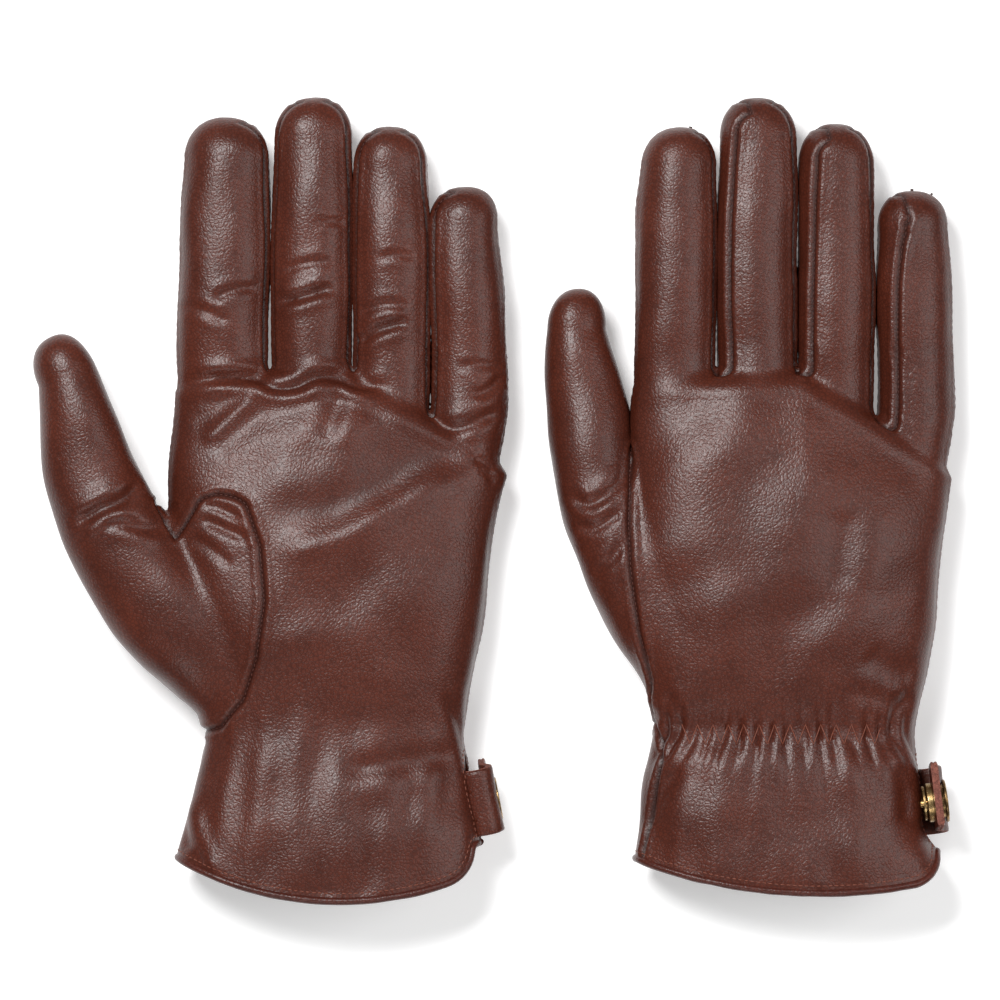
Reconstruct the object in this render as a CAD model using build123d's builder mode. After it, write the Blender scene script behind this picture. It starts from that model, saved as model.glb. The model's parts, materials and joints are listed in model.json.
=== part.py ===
from build123d import *
from dataclasses import dataclass
from math import atan2, degrees, hypot, sqrt
import os

# A pair of men's leather gloves lying on a table, fingers towards +Y. The left glove shows its palm
# and the right glove its back, so both thumbs point to -X and both little fingers to +X.
# Every glove is built of layers: leather panels outside, an elastic at the wrist, a knitted lining.

os.makedirs("parts", exist_ok=True)

# ---- driving dimensions, mm: layers, each given as its depth below the outer leather surface
leather_depth = 1.0
elastic_depths = (1.25, 1.75)
lining_depths = (2.0, 3.0)
seam_gap = 0.3

# ---- hem and vent
piping_width = 2.3
piping_proud = 0.8
piping_depth = 2.6
lining_set_back = 1.0
piping_lap = 0.1
vent_top_y = -80.0
vent_slope = 7.0
vent_end_y = -160.0
vent_reach = 16.0
vent_low = 3.0
vent_high = 10.5
side_seam_z = 16.5
vent_tool_depth = 40.0
seam_tool_margin = 2.0
notch_reach = 14.0
notch_half = 13.0
notch_top_y = -84.0

# ---- wrist elastic and its zigzag
elastic_y = (-79.5, -67.5)
elastic_rise = 9.0
zigzag_y = (-78.1, -68.6)
zigzag_pitch = 3.6

# ---- snap strap, in the plane across it: u outwards from the cuff wall, v up from the wall's middle
strap_y = -96.5
strap_width = 21.0
strap_thick = 2.4
root_u = -2.4
root_v = 11.1
rise_u = 2.36
rise_v = 10.6
bulge_u = 5.9
bulge_v = 6.8
wall_share = 0.4
straight_v = 2.4
strap_end_v = -13.8
snap_v = -4.0

# ---- snap fastener, each face given as u
stud_flange_radius = 5.5
stud_flange_u = (0.05, 0.65)
stud_head_radius = 2.2
stud_head_u = 2.55
socket_radius = 6.2
socket_u = (1.2, 3.3)
socket_bore_radius = 2.75
socket_floor = 0.5
cap_seat_radius = 5.4
strap_seat_u = 5.75
cap_radius = 6.8
cap_seat_height = 0.9
cap_height = 1.9
cap_stem_radius = 1.7
cap_stem_u = 2.95
cap_edge = 0.35
post_stem_radius = 1.3
post_stem_u = 2.2
post_flange_radius = 3.9
post_flange_u = (-3.7, -3.1)
stem_play = 0.15

# ---- threads
thread_size = 0.5
stitch_length = 1.3
hem_stitch_pitch = 1.9
hem_stitch_rise = 3.4
hem_row_y = -118.0
vent_stitches = 12
vent_stitch_inset = 1.2

# ---- seams of the thumb and of the fourchettes, and the roots of the fingers
thumb_reach = 80.0
thumb_low_margin = 4.0
thumb_top_y = 90.0
fourchette_half_height = 7.0
fourchette_width = 11.0
fourchette_below = 2.0
fourchette_short = 7.0
finger_root_size = 0.95
finger_root_length = 18.0

# ---- extents of the cutting tools
far = 400.0
tool_low = -20.0
tool_high = 60.0

# fingertips end in an elliptic cap: how far along it, and how wide there
cap_profile = ((0.0, 1.0), (0.55, 0.835), (0.87, 0.49), (1.0, 0.2))


@dataclass
class Finger:
    """A finger tube: its middle line, its size and the height of its middle above the table."""

    name: str
    x: float
    width: float
    thick: float
    root_y: float
    tip_x: float
    tip_y: float
    z: float


@dataclass
class Glove:
    """One glove's sizes. Palm is +1 where the palm is on top and -1 where the back is."""

    name: str
    palm: int
    hand: list  # y, low x, high x, low z, thickness
    fingers: list
    crotches: list  # x, y between neighbouring fingers
    thumb: list  # x, y, z, width, thickness
    thumb_cap: float
    thumb_palm_line: list
    thumb_back_line: list
    hem: list  # radial end, lowest point and start of the vent corner
    hem_corner: float


left = Glove(
    name="left",
    palm=1,
    hand=[
        (-140.0, -107.5, 2.4, 0.8, 36.0),
        (-112.0, -100.5, -3.0, 0.8, 36.0),
        (-78.0, -92.0, -9.5, 1.0, 34.0),
        (-32.0, -98.5, -3.0, -0.1, 35.1),
        (0.0, -103.6, -0.2, -0.1, 34.1),
        (20.0, -102.0, 1.8, 1.0, 30.0),
        (31.0, -101.0, 3.6, 1.8, 27.4),
        (44.0, -100.7, 4.0, 2.3, 25.6),
    ],
    fingers=[
        Finger("index", -86.2, 28.4, 21.5, 30.0, -84.6, 121.0, 15.0),
        Finger("middle", -58.0, 25.4, 21.5, 31.0, -58.0, 127.7, 15.0),
        Finger("ring", -32.6, 24.3, 21.0, 21.0, -32.8, 118.5, 15.0),
        Finger("little", -8.2, 23.6, 20.0, 19.0, -10.0, 99.1, 14.5),
    ],
    crotches=[(-71.3, 39.4), (-45.0, 39.4), (-20.2, 27.3)],
    thumb=[
        (-84.0, -64.0, 17.5, 22.0, 20.0),
        (-96.5, -46.5, 18.0, 33.0, 26.0),
        (-107.5, -31.0, 18.5, 35.5, 27.0),
        (-119.3, -13.0, 19.0, 33.0, 25.0),
        (-127.5, 6.0, 19.5, 29.4, 23.0),
        (-132.4, 22.0, 20.0, 25.4, 21.0),
        (-135.9, 40.0, 20.0, 19.0, 17.0),
    ],
    thumb_cap=13.5,
    thumb_palm_line=[
        (-107.6, -1.5), (-101.0, -12.5), (-93.6, -0.5), (-93.0, 14.0), (-89.1, 15.6),
        (-80.2, 3.5), (-74.2, -14.3), (-72.6, -32.4), (-75.1, -50.2), (-79.6, -63.5),
        (-87.5, -73.5),
    ],
    thumb_back_line=[
        (-107.6, -1.5), (-101.0, -12.5), (-98.6, -20.0), (-94.5, -45.0), (-87.5, -73.5),
    ],
    hem=[(-101.0, -114.6), (-52.2, -127.7), (-14.5, -122.4)],
    hem_corner=13.0,
)

right = Glove(
    name="right",
    palm=-1,
    hand=[
        (-140.0, 40.1, 149.0, 0.8, 36.0),
        (-114.0, 44.3, 142.6, 0.8, 36.0),
        (-107.5, 45.3, 137.2, 0.8, 35.8),
        (-84.0, 49.0, 134.2, 0.9, 34.4),
        (-78.0, 50.0, 133.6, 1.0, 34.0),
        (-45.0, 47.4, 139.5, -0.1, 35.1),
        (-20.0, 44.4, 142.0, -0.1, 35.1),
        (9.0, 43.8, 144.0, 0.4, 33.0),
        (31.0, 44.4, 145.5, 1.8, 27.4),
        (44.0, 44.3, 146.0, 2.3, 25.6),
    ],
    fingers=[
        Finger("index", 57.3, 25.4, 21.5, 30.0, 58.9, 118.1, 15.0),
        Finger("middle", 83.4, 25.4, 21.5, 31.0, 83.4, 127.7, 15.0),
        Finger("ring", 108.6, 24.0, 21.0, 20.0, 108.6, 119.1, 15.0),
        Finger("little", 133.7, 23.8, 20.0, 17.0, 132.6, 98.1, 14.5),
    ],
    crotches=[(70.4, 39.4), (97.0, 40.6), (121.2, 24.5)],
    thumb=[
        (61.0, -62.0, 17.0, 22.0, 18.5),
        (54.0, -46.0, 16.5, 27.0, 25.0),
        (46.0, -29.0, 16.0, 30.0, 26.0),
        (38.0, -9.0, 15.0, 30.0, 25.0),
        (32.0, 12.0, 14.0, 28.0, 23.0),
        (29.4, 31.4, 13.0, 26.5, 21.0),
        (27.2, 46.0, 12.5, 21.5, 19.0),
        (26.0, 54.0, 12.5, 17.5, 17.0),
    ],
    thumb_cap=13.0,
    thumb_palm_line=[
        (43.2, 8.0), (43.6, -4.0), (51.0, 4.0), (53.0, 15.0), (58.0, 15.0),
        (66.0, 3.5), (71.5, -14.3), (73.0, -32.4), (70.5, -50.2), (66.0, -63.5),
        (56.0, -73.5),
    ],
    thumb_back_line=[
        (43.2, 8.0), (43.6, -4.0), (46.0, -20.0), (49.0, -45.0), (56.0, -73.5),
    ],
    hem=[(44.6, -115.0), (93.9, -125.1), (132.8, -122.6)],
    hem_corner=11.0,
)


def along(stations, y):
    """The row of hand stations at y, by straight interpolation."""
    for low, high in zip(stations, stations[1:]):
        if low[0] <= y <= high[0]:
            share = (y - low[0]) / (high[0] - low[0])
            return [a + share * (b - a) for a, b in zip(low, high)]
    raise ValueError(y)


def hand_core(glove, depth):
    """The hand and cuff as one closed solid, its surface depth below the leather's."""
    with BuildPart() as core:
        for y, low_x, high_x, low_z, thick in glove.hand:
            middle = (0.5 * (low_x + high_x), y, low_z + 0.5 * thick)
            with BuildSketch(Plane(middle, x_dir=(1, 0, 0), z_dir=(0, 1, 0))):
                SlotOverall(high_x - low_x - 2 * depth, thick - 2 * depth)
        loft(ruled=True)
        (index_x, index_y), (ring_x, ring_y), (little_x, little_y) = glove.crotches
        with BuildSketch(Plane.XY.offset(tool_low)):
            with BuildLine():
                Polyline(
                    (index_x - far, index_y - depth),
                    (index_x, index_y - depth),
                    (ring_x, ring_y - depth),
                    (little_x, little_y - depth),
                    (little_x + far, little_y - depth),
                    (little_x + far, far),
                    (index_x - far, far),
                    close=True,
                )
            make_face()
        extrude(amount=tool_high - tool_low, mode=Mode.SUBTRACT)
    return core.part


def finger_core(finger, depth):
    """One finger as a closed solid that ends inside the hand and in a rounded tip."""
    width = finger.width - 2 * depth
    thick = finger.thick - 2 * depth
    tip_y = finger.tip_y - depth
    cap = 0.5 * finger.width - depth
    rows = [(finger.root_y, finger_root_size), (finger.root_y + finger_root_length, 1.0)]
    rows += [(tip_y - cap + share * cap, size) for share, size in cap_profile]
    with BuildPart() as core:
        for y, size in rows:
            share = (y - finger.root_y) / (finger.tip_y - finger.root_y)
            x = finger.x + share * (finger.tip_x - finger.x)
            with BuildSketch(Plane((x, y, finger.z), x_dir=(1, 0, 0), z_dir=(0, 1, 0))):
                SlotOverall(size * width, size * thick)
        loft(ruled=True)
    return core.part


def thumb_core(glove, depth):
    """The thumb as a closed solid that bends out of the hand to its rounded tip."""
    rows = glove.thumb
    x, y, z, width, thick = rows[-1]
    way = Vector(x - rows[-2][0], y - rows[-2][1], z - rows[-2][2]).normalized()
    cap = glove.thumb_cap - depth
    sections = []
    for row, (x0, y0, z0, w0, t0) in enumerate(rows[:-1]):
        before = rows[max(row - 1, 0)]
        after = rows[row + 1]
        turn = Vector(*(b - a for a, b in zip(before[:3], after[:3]))).normalized()
        sections.append((Vector(x0, y0, z0), turn, w0 - 2 * depth, t0 - 2 * depth))
    for share, size in cap_profile:
        place = Vector(x, y, z) + way * (share * cap)
        sections.append((place, way, size * (width - 2 * depth), size * (thick - 2 * depth)))
    with BuildPart() as core:
        for place, turn, wide, high in sections:
            across = Vector(turn.Y, -turn.X, 0).normalized()
            with BuildSketch(Plane(place, x_dir=across, z_dir=turn)):
                SlotOverall(wide, high)
        loft(ruled=True)
    return core.part


def glove_core(glove, depth):
    """The whole glove as one solid whose surface lies depth below the leather's."""
    with BuildPart() as core:
        add(hand_core(glove, depth))
        for finger in glove.fingers:
            add(finger_core(finger, depth))
        add(thumb_core(glove, depth))
    return core.part


def hem_prism(glove, rise):
    """Everything on the finger side of the hem line, moved inwards by rise, as a tall prism."""
    line = ThreePointArc(*glove.hem)
    heading = line % 1
    turn = 90.0 - degrees(atan2(heading.Y, heading.X))
    moved = [Vector(x, y) + (line.arc_center - Vector(x, y)).normalized() * rise for x, y in glove.hem]
    with BuildPart() as prism:
        with BuildSketch(Plane.XY.offset(tool_low)):
            with BuildLine():
                ThreePointArc(*moved)
                bend = JernArc(
                    start=moved[2], tangent=heading, radius=glove.hem_corner - rise, arc_size=turn
                )
                end = bend @ 1
                Polyline(end, (far, end.Y), (far, far), (-far, far), (-far, moved[0].Y), moved[0])
            make_face()
        extrude(amount=tool_high - tool_low)
    return prism.part


def plan_prism(points, z_range, grow):
    """A plan outline, grown by grow, as a prism between two heights."""
    with BuildPart() as prism:
        with BuildSketch(Plane.XY.offset(z_range[0])):
            with BuildLine():
                Polyline(*points, close=True)
            make_face()
            offset(amount=grow, kind=Kind.INTERSECTION)
        extrude(amount=z_range[1] - z_range[0])
    return prism.part


def thumb_region(glove, grow):
    """The space that holds the thumb's own leather, bounded by its seam on the palm and on the back."""
    x = glove.thumb_palm_line[0][0]
    bottom_y = glove.thumb_palm_line[-1][1]
    low_y = bottom_y - thumb_low_margin
    outside = [(x - thumb_reach, low_y), (x - thumb_reach, thumb_top_y), (x, thumb_top_y)]
    upper = (side_seam_z, tool_high)
    lower = (tool_low, side_seam_z)
    palm_side, back_side = (upper, lower) if glove.palm > 0 else (lower, upper)
    with BuildPart() as region:
        add(plan_prism(outside + glove.thumb_palm_line, palm_side, grow))
        add(plan_prism(outside + glove.thumb_back_line, back_side, grow))
    return region.part


def fourchette_region(glove, number, grow):
    """The box between two neighbouring fingers that holds their side walls and the web between."""
    near, far_finger = glove.fingers[number], glove.fingers[number + 1]
    x, y = glove.crotches[number]
    top_y = min(near.tip_y, far_finger.tip_y) - fourchette_short
    low_y = y - fourchette_below
    with BuildPart() as region:
        with BuildSketch(Plane.XY.offset(near.z - fourchette_half_height - grow)):
            with Locations((x, 0.5 * (low_y + top_y))):
                Rectangle(fourchette_width + 2 * grow, top_y - low_y + 2 * grow)
        extrude(amount=2 * fourchette_half_height + 2 * grow)
    return region.part


def vent_region(glove, grow):
    """The wedge that is cut out of the side wall, from the wrist down through the hem."""
    _, _, high_x, low_z, thick = along(glove.hand, strap_y)
    middle = low_z + 0.5 * thick
    side = glove.palm
    with BuildPart() as region:
        with BuildSketch(Plane.YZ.offset(high_x - vent_reach)):
            with BuildLine():
                Polyline(
                    (vent_top_y, side_seam_z),
                    (vent_top_y - vent_slope, middle + side * vent_high),
                    (vent_end_y, middle + side * vent_high),
                    (vent_end_y, middle + side * vent_low),
                    (vent_top_y - vent_slope, middle + side * vent_low),
                    close=True,
                )
            make_face()
            offset(amount=grow, kind=Kind.INTERSECTION)
        extrude(amount=vent_tool_depth)
    return region.part


def palm_side_region(glove, gap):
    """The palm half of the space. Beside the vent the seam runs along the vent instead."""
    _, _, side_x, low_z, thick = along(glove.hand, strap_y)
    side = glove.palm
    vent_z = low_z + 0.5 * thick + side * 0.5 * (vent_low + vent_high)
    base_z = side_seam_z - side * seam_tool_margin
    bottom = side_seam_z + gap if side > 0 else tool_low
    height = tool_high - side_seam_z - gap if side > 0 else side_seam_z - gap - tool_low
    with BuildPart() as region:
        with BuildSketch(Plane.XY.offset(bottom)):
            Rectangle(2 * far, 2 * far)
        extrude(amount=height)
        with BuildSketch(Plane.YZ.offset(side_x - vent_reach)):
            with BuildLine():
                Polyline(
                    (vent_top_y, side_seam_z),
                    (vent_top_y - vent_slope, vent_z),
                    (vent_end_y, vent_z),
                    (vent_end_y, base_z),
                    (vent_top_y, base_z),
                    close=True,
                )
            make_face()
        extrude(amount=far, mode=Mode.SUBTRACT)
    return region.part


def strap_plane(glove):
    """The plane across the strap: x points out of the cuff wall, y up, and its normal along the wall."""
    low_row, high_row = (along(glove.hand, strap_y + way * wall_share * strap_width) for way in (-1, 1))
    _, _, x, low_z, thick = along(glove.hand, strap_y)
    wall = Vector(low_row[2] - high_row[2], low_row[0] - high_row[0], 0).normalized()
    outward = Vector(-wall.Y, wall.X, 0)
    return Plane(Vector(x, strap_y, low_z + 0.5 * thick), x_dir=outward, z_dir=wall)


def snap_plane(glove, u):
    """The plane square to the snap's axis at distance u out of the cuff wall."""
    across = strap_plane(glove)
    centre = across.from_local_coords((u, glove.palm * snap_v, 0))
    return Plane(centre, x_dir=across.z_dir, z_dir=across.x_dir)


def save(piece, label):
    """Label a finished piece and write its STEP file."""
    piece.label = label
    export_step(piece, f"parts/{label}.step")


def make_leather(glove):
    """The panels, the thumb and the fourchettes: one leather shell parted along its seams."""
    half_gap = 0.5 * seam_gap
    with BuildPart() as leather:
        add(glove_core(glove, 0.0))
        add(glove_core(glove, leather_depth), mode=Mode.SUBTRACT)
        add(hem_prism(glove, piping_width), mode=Mode.INTERSECT)
        add(vent_region(glove, 0.0), mode=Mode.SUBTRACT)
        with BuildSketch():
            Rectangle(2 * far, 2 * far)
        extrude(amount=tool_low, mode=Mode.SUBTRACT)

    with BuildPart() as thumb:
        add(leather.part)
        add(thumb_region(glove, -half_gap), mode=Mode.INTERSECT)
    save(thumb.part, f"{glove.name}_thumb")

    with BuildPart() as body:
        add(leather.part)
        add(thumb_region(glove, half_gap), mode=Mode.SUBTRACT)

    for number, pair in enumerate(("index_middle", "middle_ring", "ring_little")):
        with BuildPart() as fourchette:
            add(body.part)
            add(fourchette_region(glove, number, -half_gap), mode=Mode.INTERSECT)
        save(fourchette.part, f"{glove.name}_fourchette_{pair}")

    with BuildPart() as panels:
        add(body.part)
        for number in range(3):
            add(fourchette_region(glove, number, half_gap), mode=Mode.SUBTRACT)

    with BuildPart() as palm_panel:
        add(panels.part)
        add(palm_side_region(glove, half_gap), mode=Mode.INTERSECT)
    save(palm_panel.part, f"{glove.name}_palm_panel")

    with BuildPart() as back_panel:
        add(panels.part)
        add(palm_side_region(glove, -half_gap), mode=Mode.SUBTRACT)
        with BuildSketch(snap_plane(glove, post_flange_u[1])):
            Circle(post_stem_radius + stem_play)
        extrude(amount=stud_flange_u[1] - post_flange_u[1], mode=Mode.SUBTRACT)
    save(back_panel.part, f"{glove.name}_back_panel")


def make_lining(glove):
    """The knitted lining, cut back round the vent where the cuff is faced with leather."""
    row = along(glove.hand, strap_y)
    middle_z = row[3] + 0.5 * row[4]
    with BuildPart() as lining:
        add(glove_core(glove, lining_depths[0]))
        add(glove_core(glove, lining_depths[1]), mode=Mode.SUBTRACT)
        add(hem_prism(glove, piping_width + lining_set_back), mode=Mode.INTERSECT)
        with BuildSketch(Plane.XY.offset(middle_z - notch_half)):
            with Locations((row[2] - notch_reach + 0.5 * far, notch_top_y - 0.5 * far)):
                Rectangle(far, far)
        extrude(amount=2 * notch_half, mode=Mode.SUBTRACT)
    save(lining.part, f"{glove.name}_lining")


def make_piping(glove):
    """The leather piping that closes the hem. It is open at the vent."""
    with BuildPart() as piping:
        add(hand_core(glove, -piping_proud))
        add(hand_core(glove, piping_depth), mode=Mode.SUBTRACT)
        add(hem_prism(glove, 0.0), mode=Mode.INTERSECT)
        add(hem_prism(glove, piping_width - piping_lap), mode=Mode.SUBTRACT)
        add(vent_region(glove, 0.0), mode=Mode.SUBTRACT)
    save(piping.part, f"{glove.name}_hem_piping")


def make_elastic(glove):
    """The elastic that gathers the back of the wrist, between the leather and the lining."""
    reach = side_seam_z - elastic_rise - tool_low
    bottom = tool_low if glove.palm > 0 else side_seam_z + elastic_rise
    with BuildPart() as elastic:
        add(hand_core(glove, elastic_depths[0]))
        add(hand_core(glove, elastic_depths[1]), mode=Mode.SUBTRACT)
        with BuildSketch(Plane.XY.offset(bottom)):
            with Locations((0, 0.5 * sum(elastic_y))):
                Rectangle(2 * far, elastic_y[1] - elastic_y[0])
        extrude(amount=reach, mode=Mode.INTERSECT)
    save(elastic.part, f"{glove.name}_wrist_elastic")


def make_strap(glove):
    """The snap tab: a leather strap from the palm edge of the vent, bulging out over the back of the cuff."""
    side = glove.palm
    middle_u = strap_seat_u - 0.5 * strap_thick
    with BuildPart() as strap:
        with BuildSketch(strap_plane(glove)):
            with BuildLine() as route:
                bulge = Spline(
                    (root_u, side * root_v),
                    (rise_u, side * rise_v),
                    (bulge_u, side * bulge_v),
                    (middle_u, side * straight_v),
                    tangents=((1.0, 0.0), (0.0, -side)),
                )
                Line(bulge @ 1, (middle_u, side * strap_end_v))
            trace(route.line, line_width=strap_thick)
        extrude(amount=0.5 * strap_width, both=True)
        with BuildSketch(snap_plane(glove, 0.0)):
            Circle(cap_stem_radius + stem_play)
        extrude(amount=2 * bulge_u, mode=Mode.SUBTRACT)
    save(strap.part, f"{glove.name}_snap_tab")


def make_snap(glove):
    """The four brass pieces of the snap: cap and socket on the tab, stud and post on the cuff."""
    with BuildPart() as cap:
        with BuildSketch(snap_plane(glove, cap_stem_u)):
            Circle(cap_stem_radius)
        extrude(amount=strap_seat_u - cap_stem_u)
        with BuildSketch(snap_plane(glove, strap_seat_u)):
            Circle(cap_seat_radius)
        extrude(amount=cap_seat_height)
        with BuildSketch(snap_plane(glove, strap_seat_u + cap_seat_height)):
            Circle(cap_radius)
        extrude(amount=cap_height - cap_seat_height)
        rim = cap.edges().filter_by(GeomType.CIRCLE).filter_by(lambda edge: edge.radius == cap_radius)
        fillet(rim, radius=cap_edge)
    save(cap.part, f"{glove.name}_snap_cap")

    with BuildPart() as socket:
        with BuildSketch(snap_plane(glove, socket_u[0])):
            Circle(socket_radius)
            Circle(socket_bore_radius, mode=Mode.SUBTRACT)
        extrude(amount=socket_u[1] - socket_u[0])
        with BuildSketch(snap_plane(glove, socket_u[1] - socket_floor)):
            Circle(socket_bore_radius)
            Circle(cap_stem_radius + stem_play, mode=Mode.SUBTRACT)
        extrude(amount=socket_floor)
        rim = socket.edges().filter_by(GeomType.CIRCLE).filter_by(lambda edge: edge.radius == socket_radius)
        fillet(rim, radius=cap_edge)
    save(socket.part, f"{glove.name}_snap_socket")

    with BuildPart() as stud:
        with BuildSketch(snap_plane(glove, stud_flange_u[0])):
            Circle(stud_flange_radius)
            Circle(post_stem_radius + stem_play, mode=Mode.SUBTRACT)
        extrude(amount=stud_flange_u[1] - stud_flange_u[0])
        with BuildSketch(snap_plane(glove, stud_flange_u[1])):
            Circle(stud_head_radius)
            Circle(post_stem_radius + stem_play, mode=Mode.SUBTRACT)
        extrude(amount=stud_head_u - stud_flange_u[1])
    save(stud.part, f"{glove.name}_snap_stud")

    with BuildPart() as post:
        with BuildSketch(snap_plane(glove, post_flange_u[0])):
            Circle(post_flange_radius)
        extrude(amount=post_flange_u[1] - post_flange_u[0])
        with BuildSketch(snap_plane(glove, post_flange_u[1])):
            Circle(post_stem_radius)
        extrude(amount=post_stem_u - post_flange_u[1])
    save(post.part, f"{glove.name}_snap_post")


def flat_span(row):
    """The stretch of x over which the top and the underside of the hand are flat, at one row."""
    return row[1] + 0.5 * row[4], row[2] - 0.5 * row[4]


def make_hem_stitching(glove):
    """The lockstitch row just above the piping, on the flat of the top and of the underside."""
    points = [(x, y + hem_stitch_rise) for x, y in glove.hem]
    row = along(glove.hand, hem_row_y)
    low_x, high_x = flat_span(row)
    arc = ThreePointArc(*points)
    count = int(arc.length / hem_stitch_pitch)
    places = []
    for number in range(count):
        spot = arc @ (number / count)
        heading = arc % (number / count)
        if low_x < spot.X < high_x:
            for z in (row[3], row[3] + row[4]):
                places.append(Plane(Vector(spot.X, spot.Y, z), x_dir=heading, z_dir=(0, 0, 1)))
    with BuildPart() as stitches:
        with Locations(*places):
            Box(stitch_length, thread_size, thread_size)
    save(stitches.part, f"{glove.name}_hem_stitching")


def make_vent_stitching(glove):
    """The lockstitch rows beside both edges of the vent."""
    places = []
    for edge in (vent_high + vent_stitch_inset, vent_low - vent_stitch_inset):
        for number in range(vent_stitches):
            y = vent_top_y - vent_slope - number * hem_stitch_pitch
            _, _, x, low_z, thick = along(glove.hand, y)
            radius = 0.5 * thick
            rise = glove.palm * edge
            reach = sqrt(radius**2 - rise**2)
            spot = Vector(x - radius + reach, y, low_z + radius + rise)
            places.append(Plane(spot, x_dir=(0, 1, 0), z_dir=(reach, 0, rise)))
    with BuildPart() as stitches:
        with Locations(*places):
            Box(stitch_length, thread_size, thread_size)
    save(stitches.part, f"{glove.name}_vent_stitching")


def make_zigzag(glove):
    """The zigzag stitching that holds the elastic, across the flat of the back of the wrist."""
    y = 0.5 * sum(zigzag_y)
    row = along(glove.hand, y)
    low_x, high_x = flat_span(row)
    z = row[3] if glove.palm > 0 else row[3] + row[4]
    rise = zigzag_y[1] - zigzag_y[0]
    length = hypot(0.5 * zigzag_pitch, rise) - 2.0 * thread_size
    places = []
    for number in range(int((high_x - low_x) / (0.5 * zigzag_pitch))):
        way = 1 if number % 2 else -1
        spot = Vector(low_x + (number + 0.5) * 0.5 * zigzag_pitch, y, z)
        places.append(Plane(spot, x_dir=(0.5 * zigzag_pitch, way * rise, 0), z_dir=(0, 0, 1)))
    with BuildPart() as stitches:
        with Locations(*places):
            Box(length, thread_size, thread_size)
    save(stitches.part, f"{glove.name}_wrist_zigzag")


for glove in (left, right):
    make_leather(glove)
    make_lining(glove)
    make_piping(glove)
    make_elastic(glove)
    make_strap(glove)
    make_snap(glove)
    make_hem_stitching(glove)
    make_vent_stitching(glove)
    make_zigzag(glove)
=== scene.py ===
import json
import logging
import math
from dataclasses import dataclass
from enum import Enum

import bpy
import numpy as np
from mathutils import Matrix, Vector
from mathutils.bvhtree import BVHTree
from mathutils.kdtree import KDTree

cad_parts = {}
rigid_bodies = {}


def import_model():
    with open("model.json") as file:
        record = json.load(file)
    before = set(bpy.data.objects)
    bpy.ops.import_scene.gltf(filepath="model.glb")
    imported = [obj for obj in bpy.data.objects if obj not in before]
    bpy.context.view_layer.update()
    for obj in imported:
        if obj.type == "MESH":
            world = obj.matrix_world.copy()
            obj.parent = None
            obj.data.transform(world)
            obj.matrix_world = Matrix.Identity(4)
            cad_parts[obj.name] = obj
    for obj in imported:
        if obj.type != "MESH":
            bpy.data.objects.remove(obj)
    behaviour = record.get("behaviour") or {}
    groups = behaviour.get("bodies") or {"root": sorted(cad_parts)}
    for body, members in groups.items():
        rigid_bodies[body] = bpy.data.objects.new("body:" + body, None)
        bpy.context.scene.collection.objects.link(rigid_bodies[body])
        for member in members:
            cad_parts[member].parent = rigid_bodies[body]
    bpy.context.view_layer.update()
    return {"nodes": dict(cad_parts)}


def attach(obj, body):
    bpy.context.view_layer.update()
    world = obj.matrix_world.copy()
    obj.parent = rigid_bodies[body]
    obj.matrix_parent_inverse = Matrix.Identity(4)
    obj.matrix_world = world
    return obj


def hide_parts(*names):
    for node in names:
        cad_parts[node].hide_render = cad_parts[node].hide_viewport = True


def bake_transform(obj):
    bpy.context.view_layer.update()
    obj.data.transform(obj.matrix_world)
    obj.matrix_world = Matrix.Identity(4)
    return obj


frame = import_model()

LOG = logging.getLogger("gloves")
MM = 0.001
GRID_STEP = 1.0
LINING_STEP = 1.7
EDGE_ANGLE = math.radians(55.0)


# ---------------------------------------------------------------- small maths


def ramp(x: np.ndarray, low: float, high: float) -> np.ndarray:
    """A smooth step from 0 at low to 1 at high."""
    t = np.clip((x - low) / (high - low), 0.0, 1.0)
    return t * t * (3.0 - 2.0 * t)


def bell(x: np.ndarray, width: float) -> np.ndarray:
    """A bell curve of 1 at 0 that falls to 0.37 at width."""
    return np.exp(-((x / width) ** 2))


def smooth_table(knots: np.ndarray, values: np.ndarray, at: np.ndarray) -> np.ndarray:
    """Values between knots on a smooth curve through them.

    Args:
        knots: rising positions.
        values: one row of values per knot.
        at: the positions wanted.

    Returns:
        One row of values per position.
    """
    slopes = np.gradient(values, knots, axis=0)
    cell = np.clip(np.searchsorted(knots, at) - 1, 0, len(knots) - 2)
    span = (knots[cell + 1] - knots[cell])[:, None]
    t = np.clip((at - knots[cell])[:, None] / span, 0.0, 1.0)
    a = 2 * t**3 - 3 * t**2 + 1
    b = t**3 - 2 * t**2 + t
    c = t**3 - t**2
    start, end = values[cell], values[cell + 1]
    return a * start + b * span * slopes[cell] + (1 - a) * end + c * span * slopes[cell + 1]


def smooth_line(points: list, per_span: int = 6) -> np.ndarray:
    """A smooth open line through points, as evenly numbered samples."""
    knots = np.arange(len(points), dtype=float)
    at = np.linspace(0, len(points) - 1, (len(points) - 1) * per_span + 1)
    return smooth_table(knots, np.array(points, float), at)


def line_distance(xy: np.ndarray, line: np.ndarray) -> tuple[np.ndarray, np.ndarray]:
    """The distance of points from an open line in the plane.

    Args:
        xy: the points.
        line: the line's points.

    Returns:
        The distances, and how far along the line the nearest place is, from 0 to 1.
    """
    best = np.full(len(xy), 1e9)
    share = np.zeros(len(xy))
    lengths = np.linalg.norm(np.diff(line, axis=0), axis=1)
    starts = np.concatenate([[0.0], np.cumsum(lengths)])
    for a, b, start, length in zip(line, line[1:], starts, lengths):
        t = np.clip(((xy - a) @ (b - a)) / max(length**2, 1e-9), 0.0, 1.0)
        gap = np.linalg.norm(xy - a - t[:, None] * (b - a), axis=1)
        near = gap < best
        best[near] = gap[near]
        share[near] = ((start + t * length) / starts[-1])[near]
    return best, share


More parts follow.
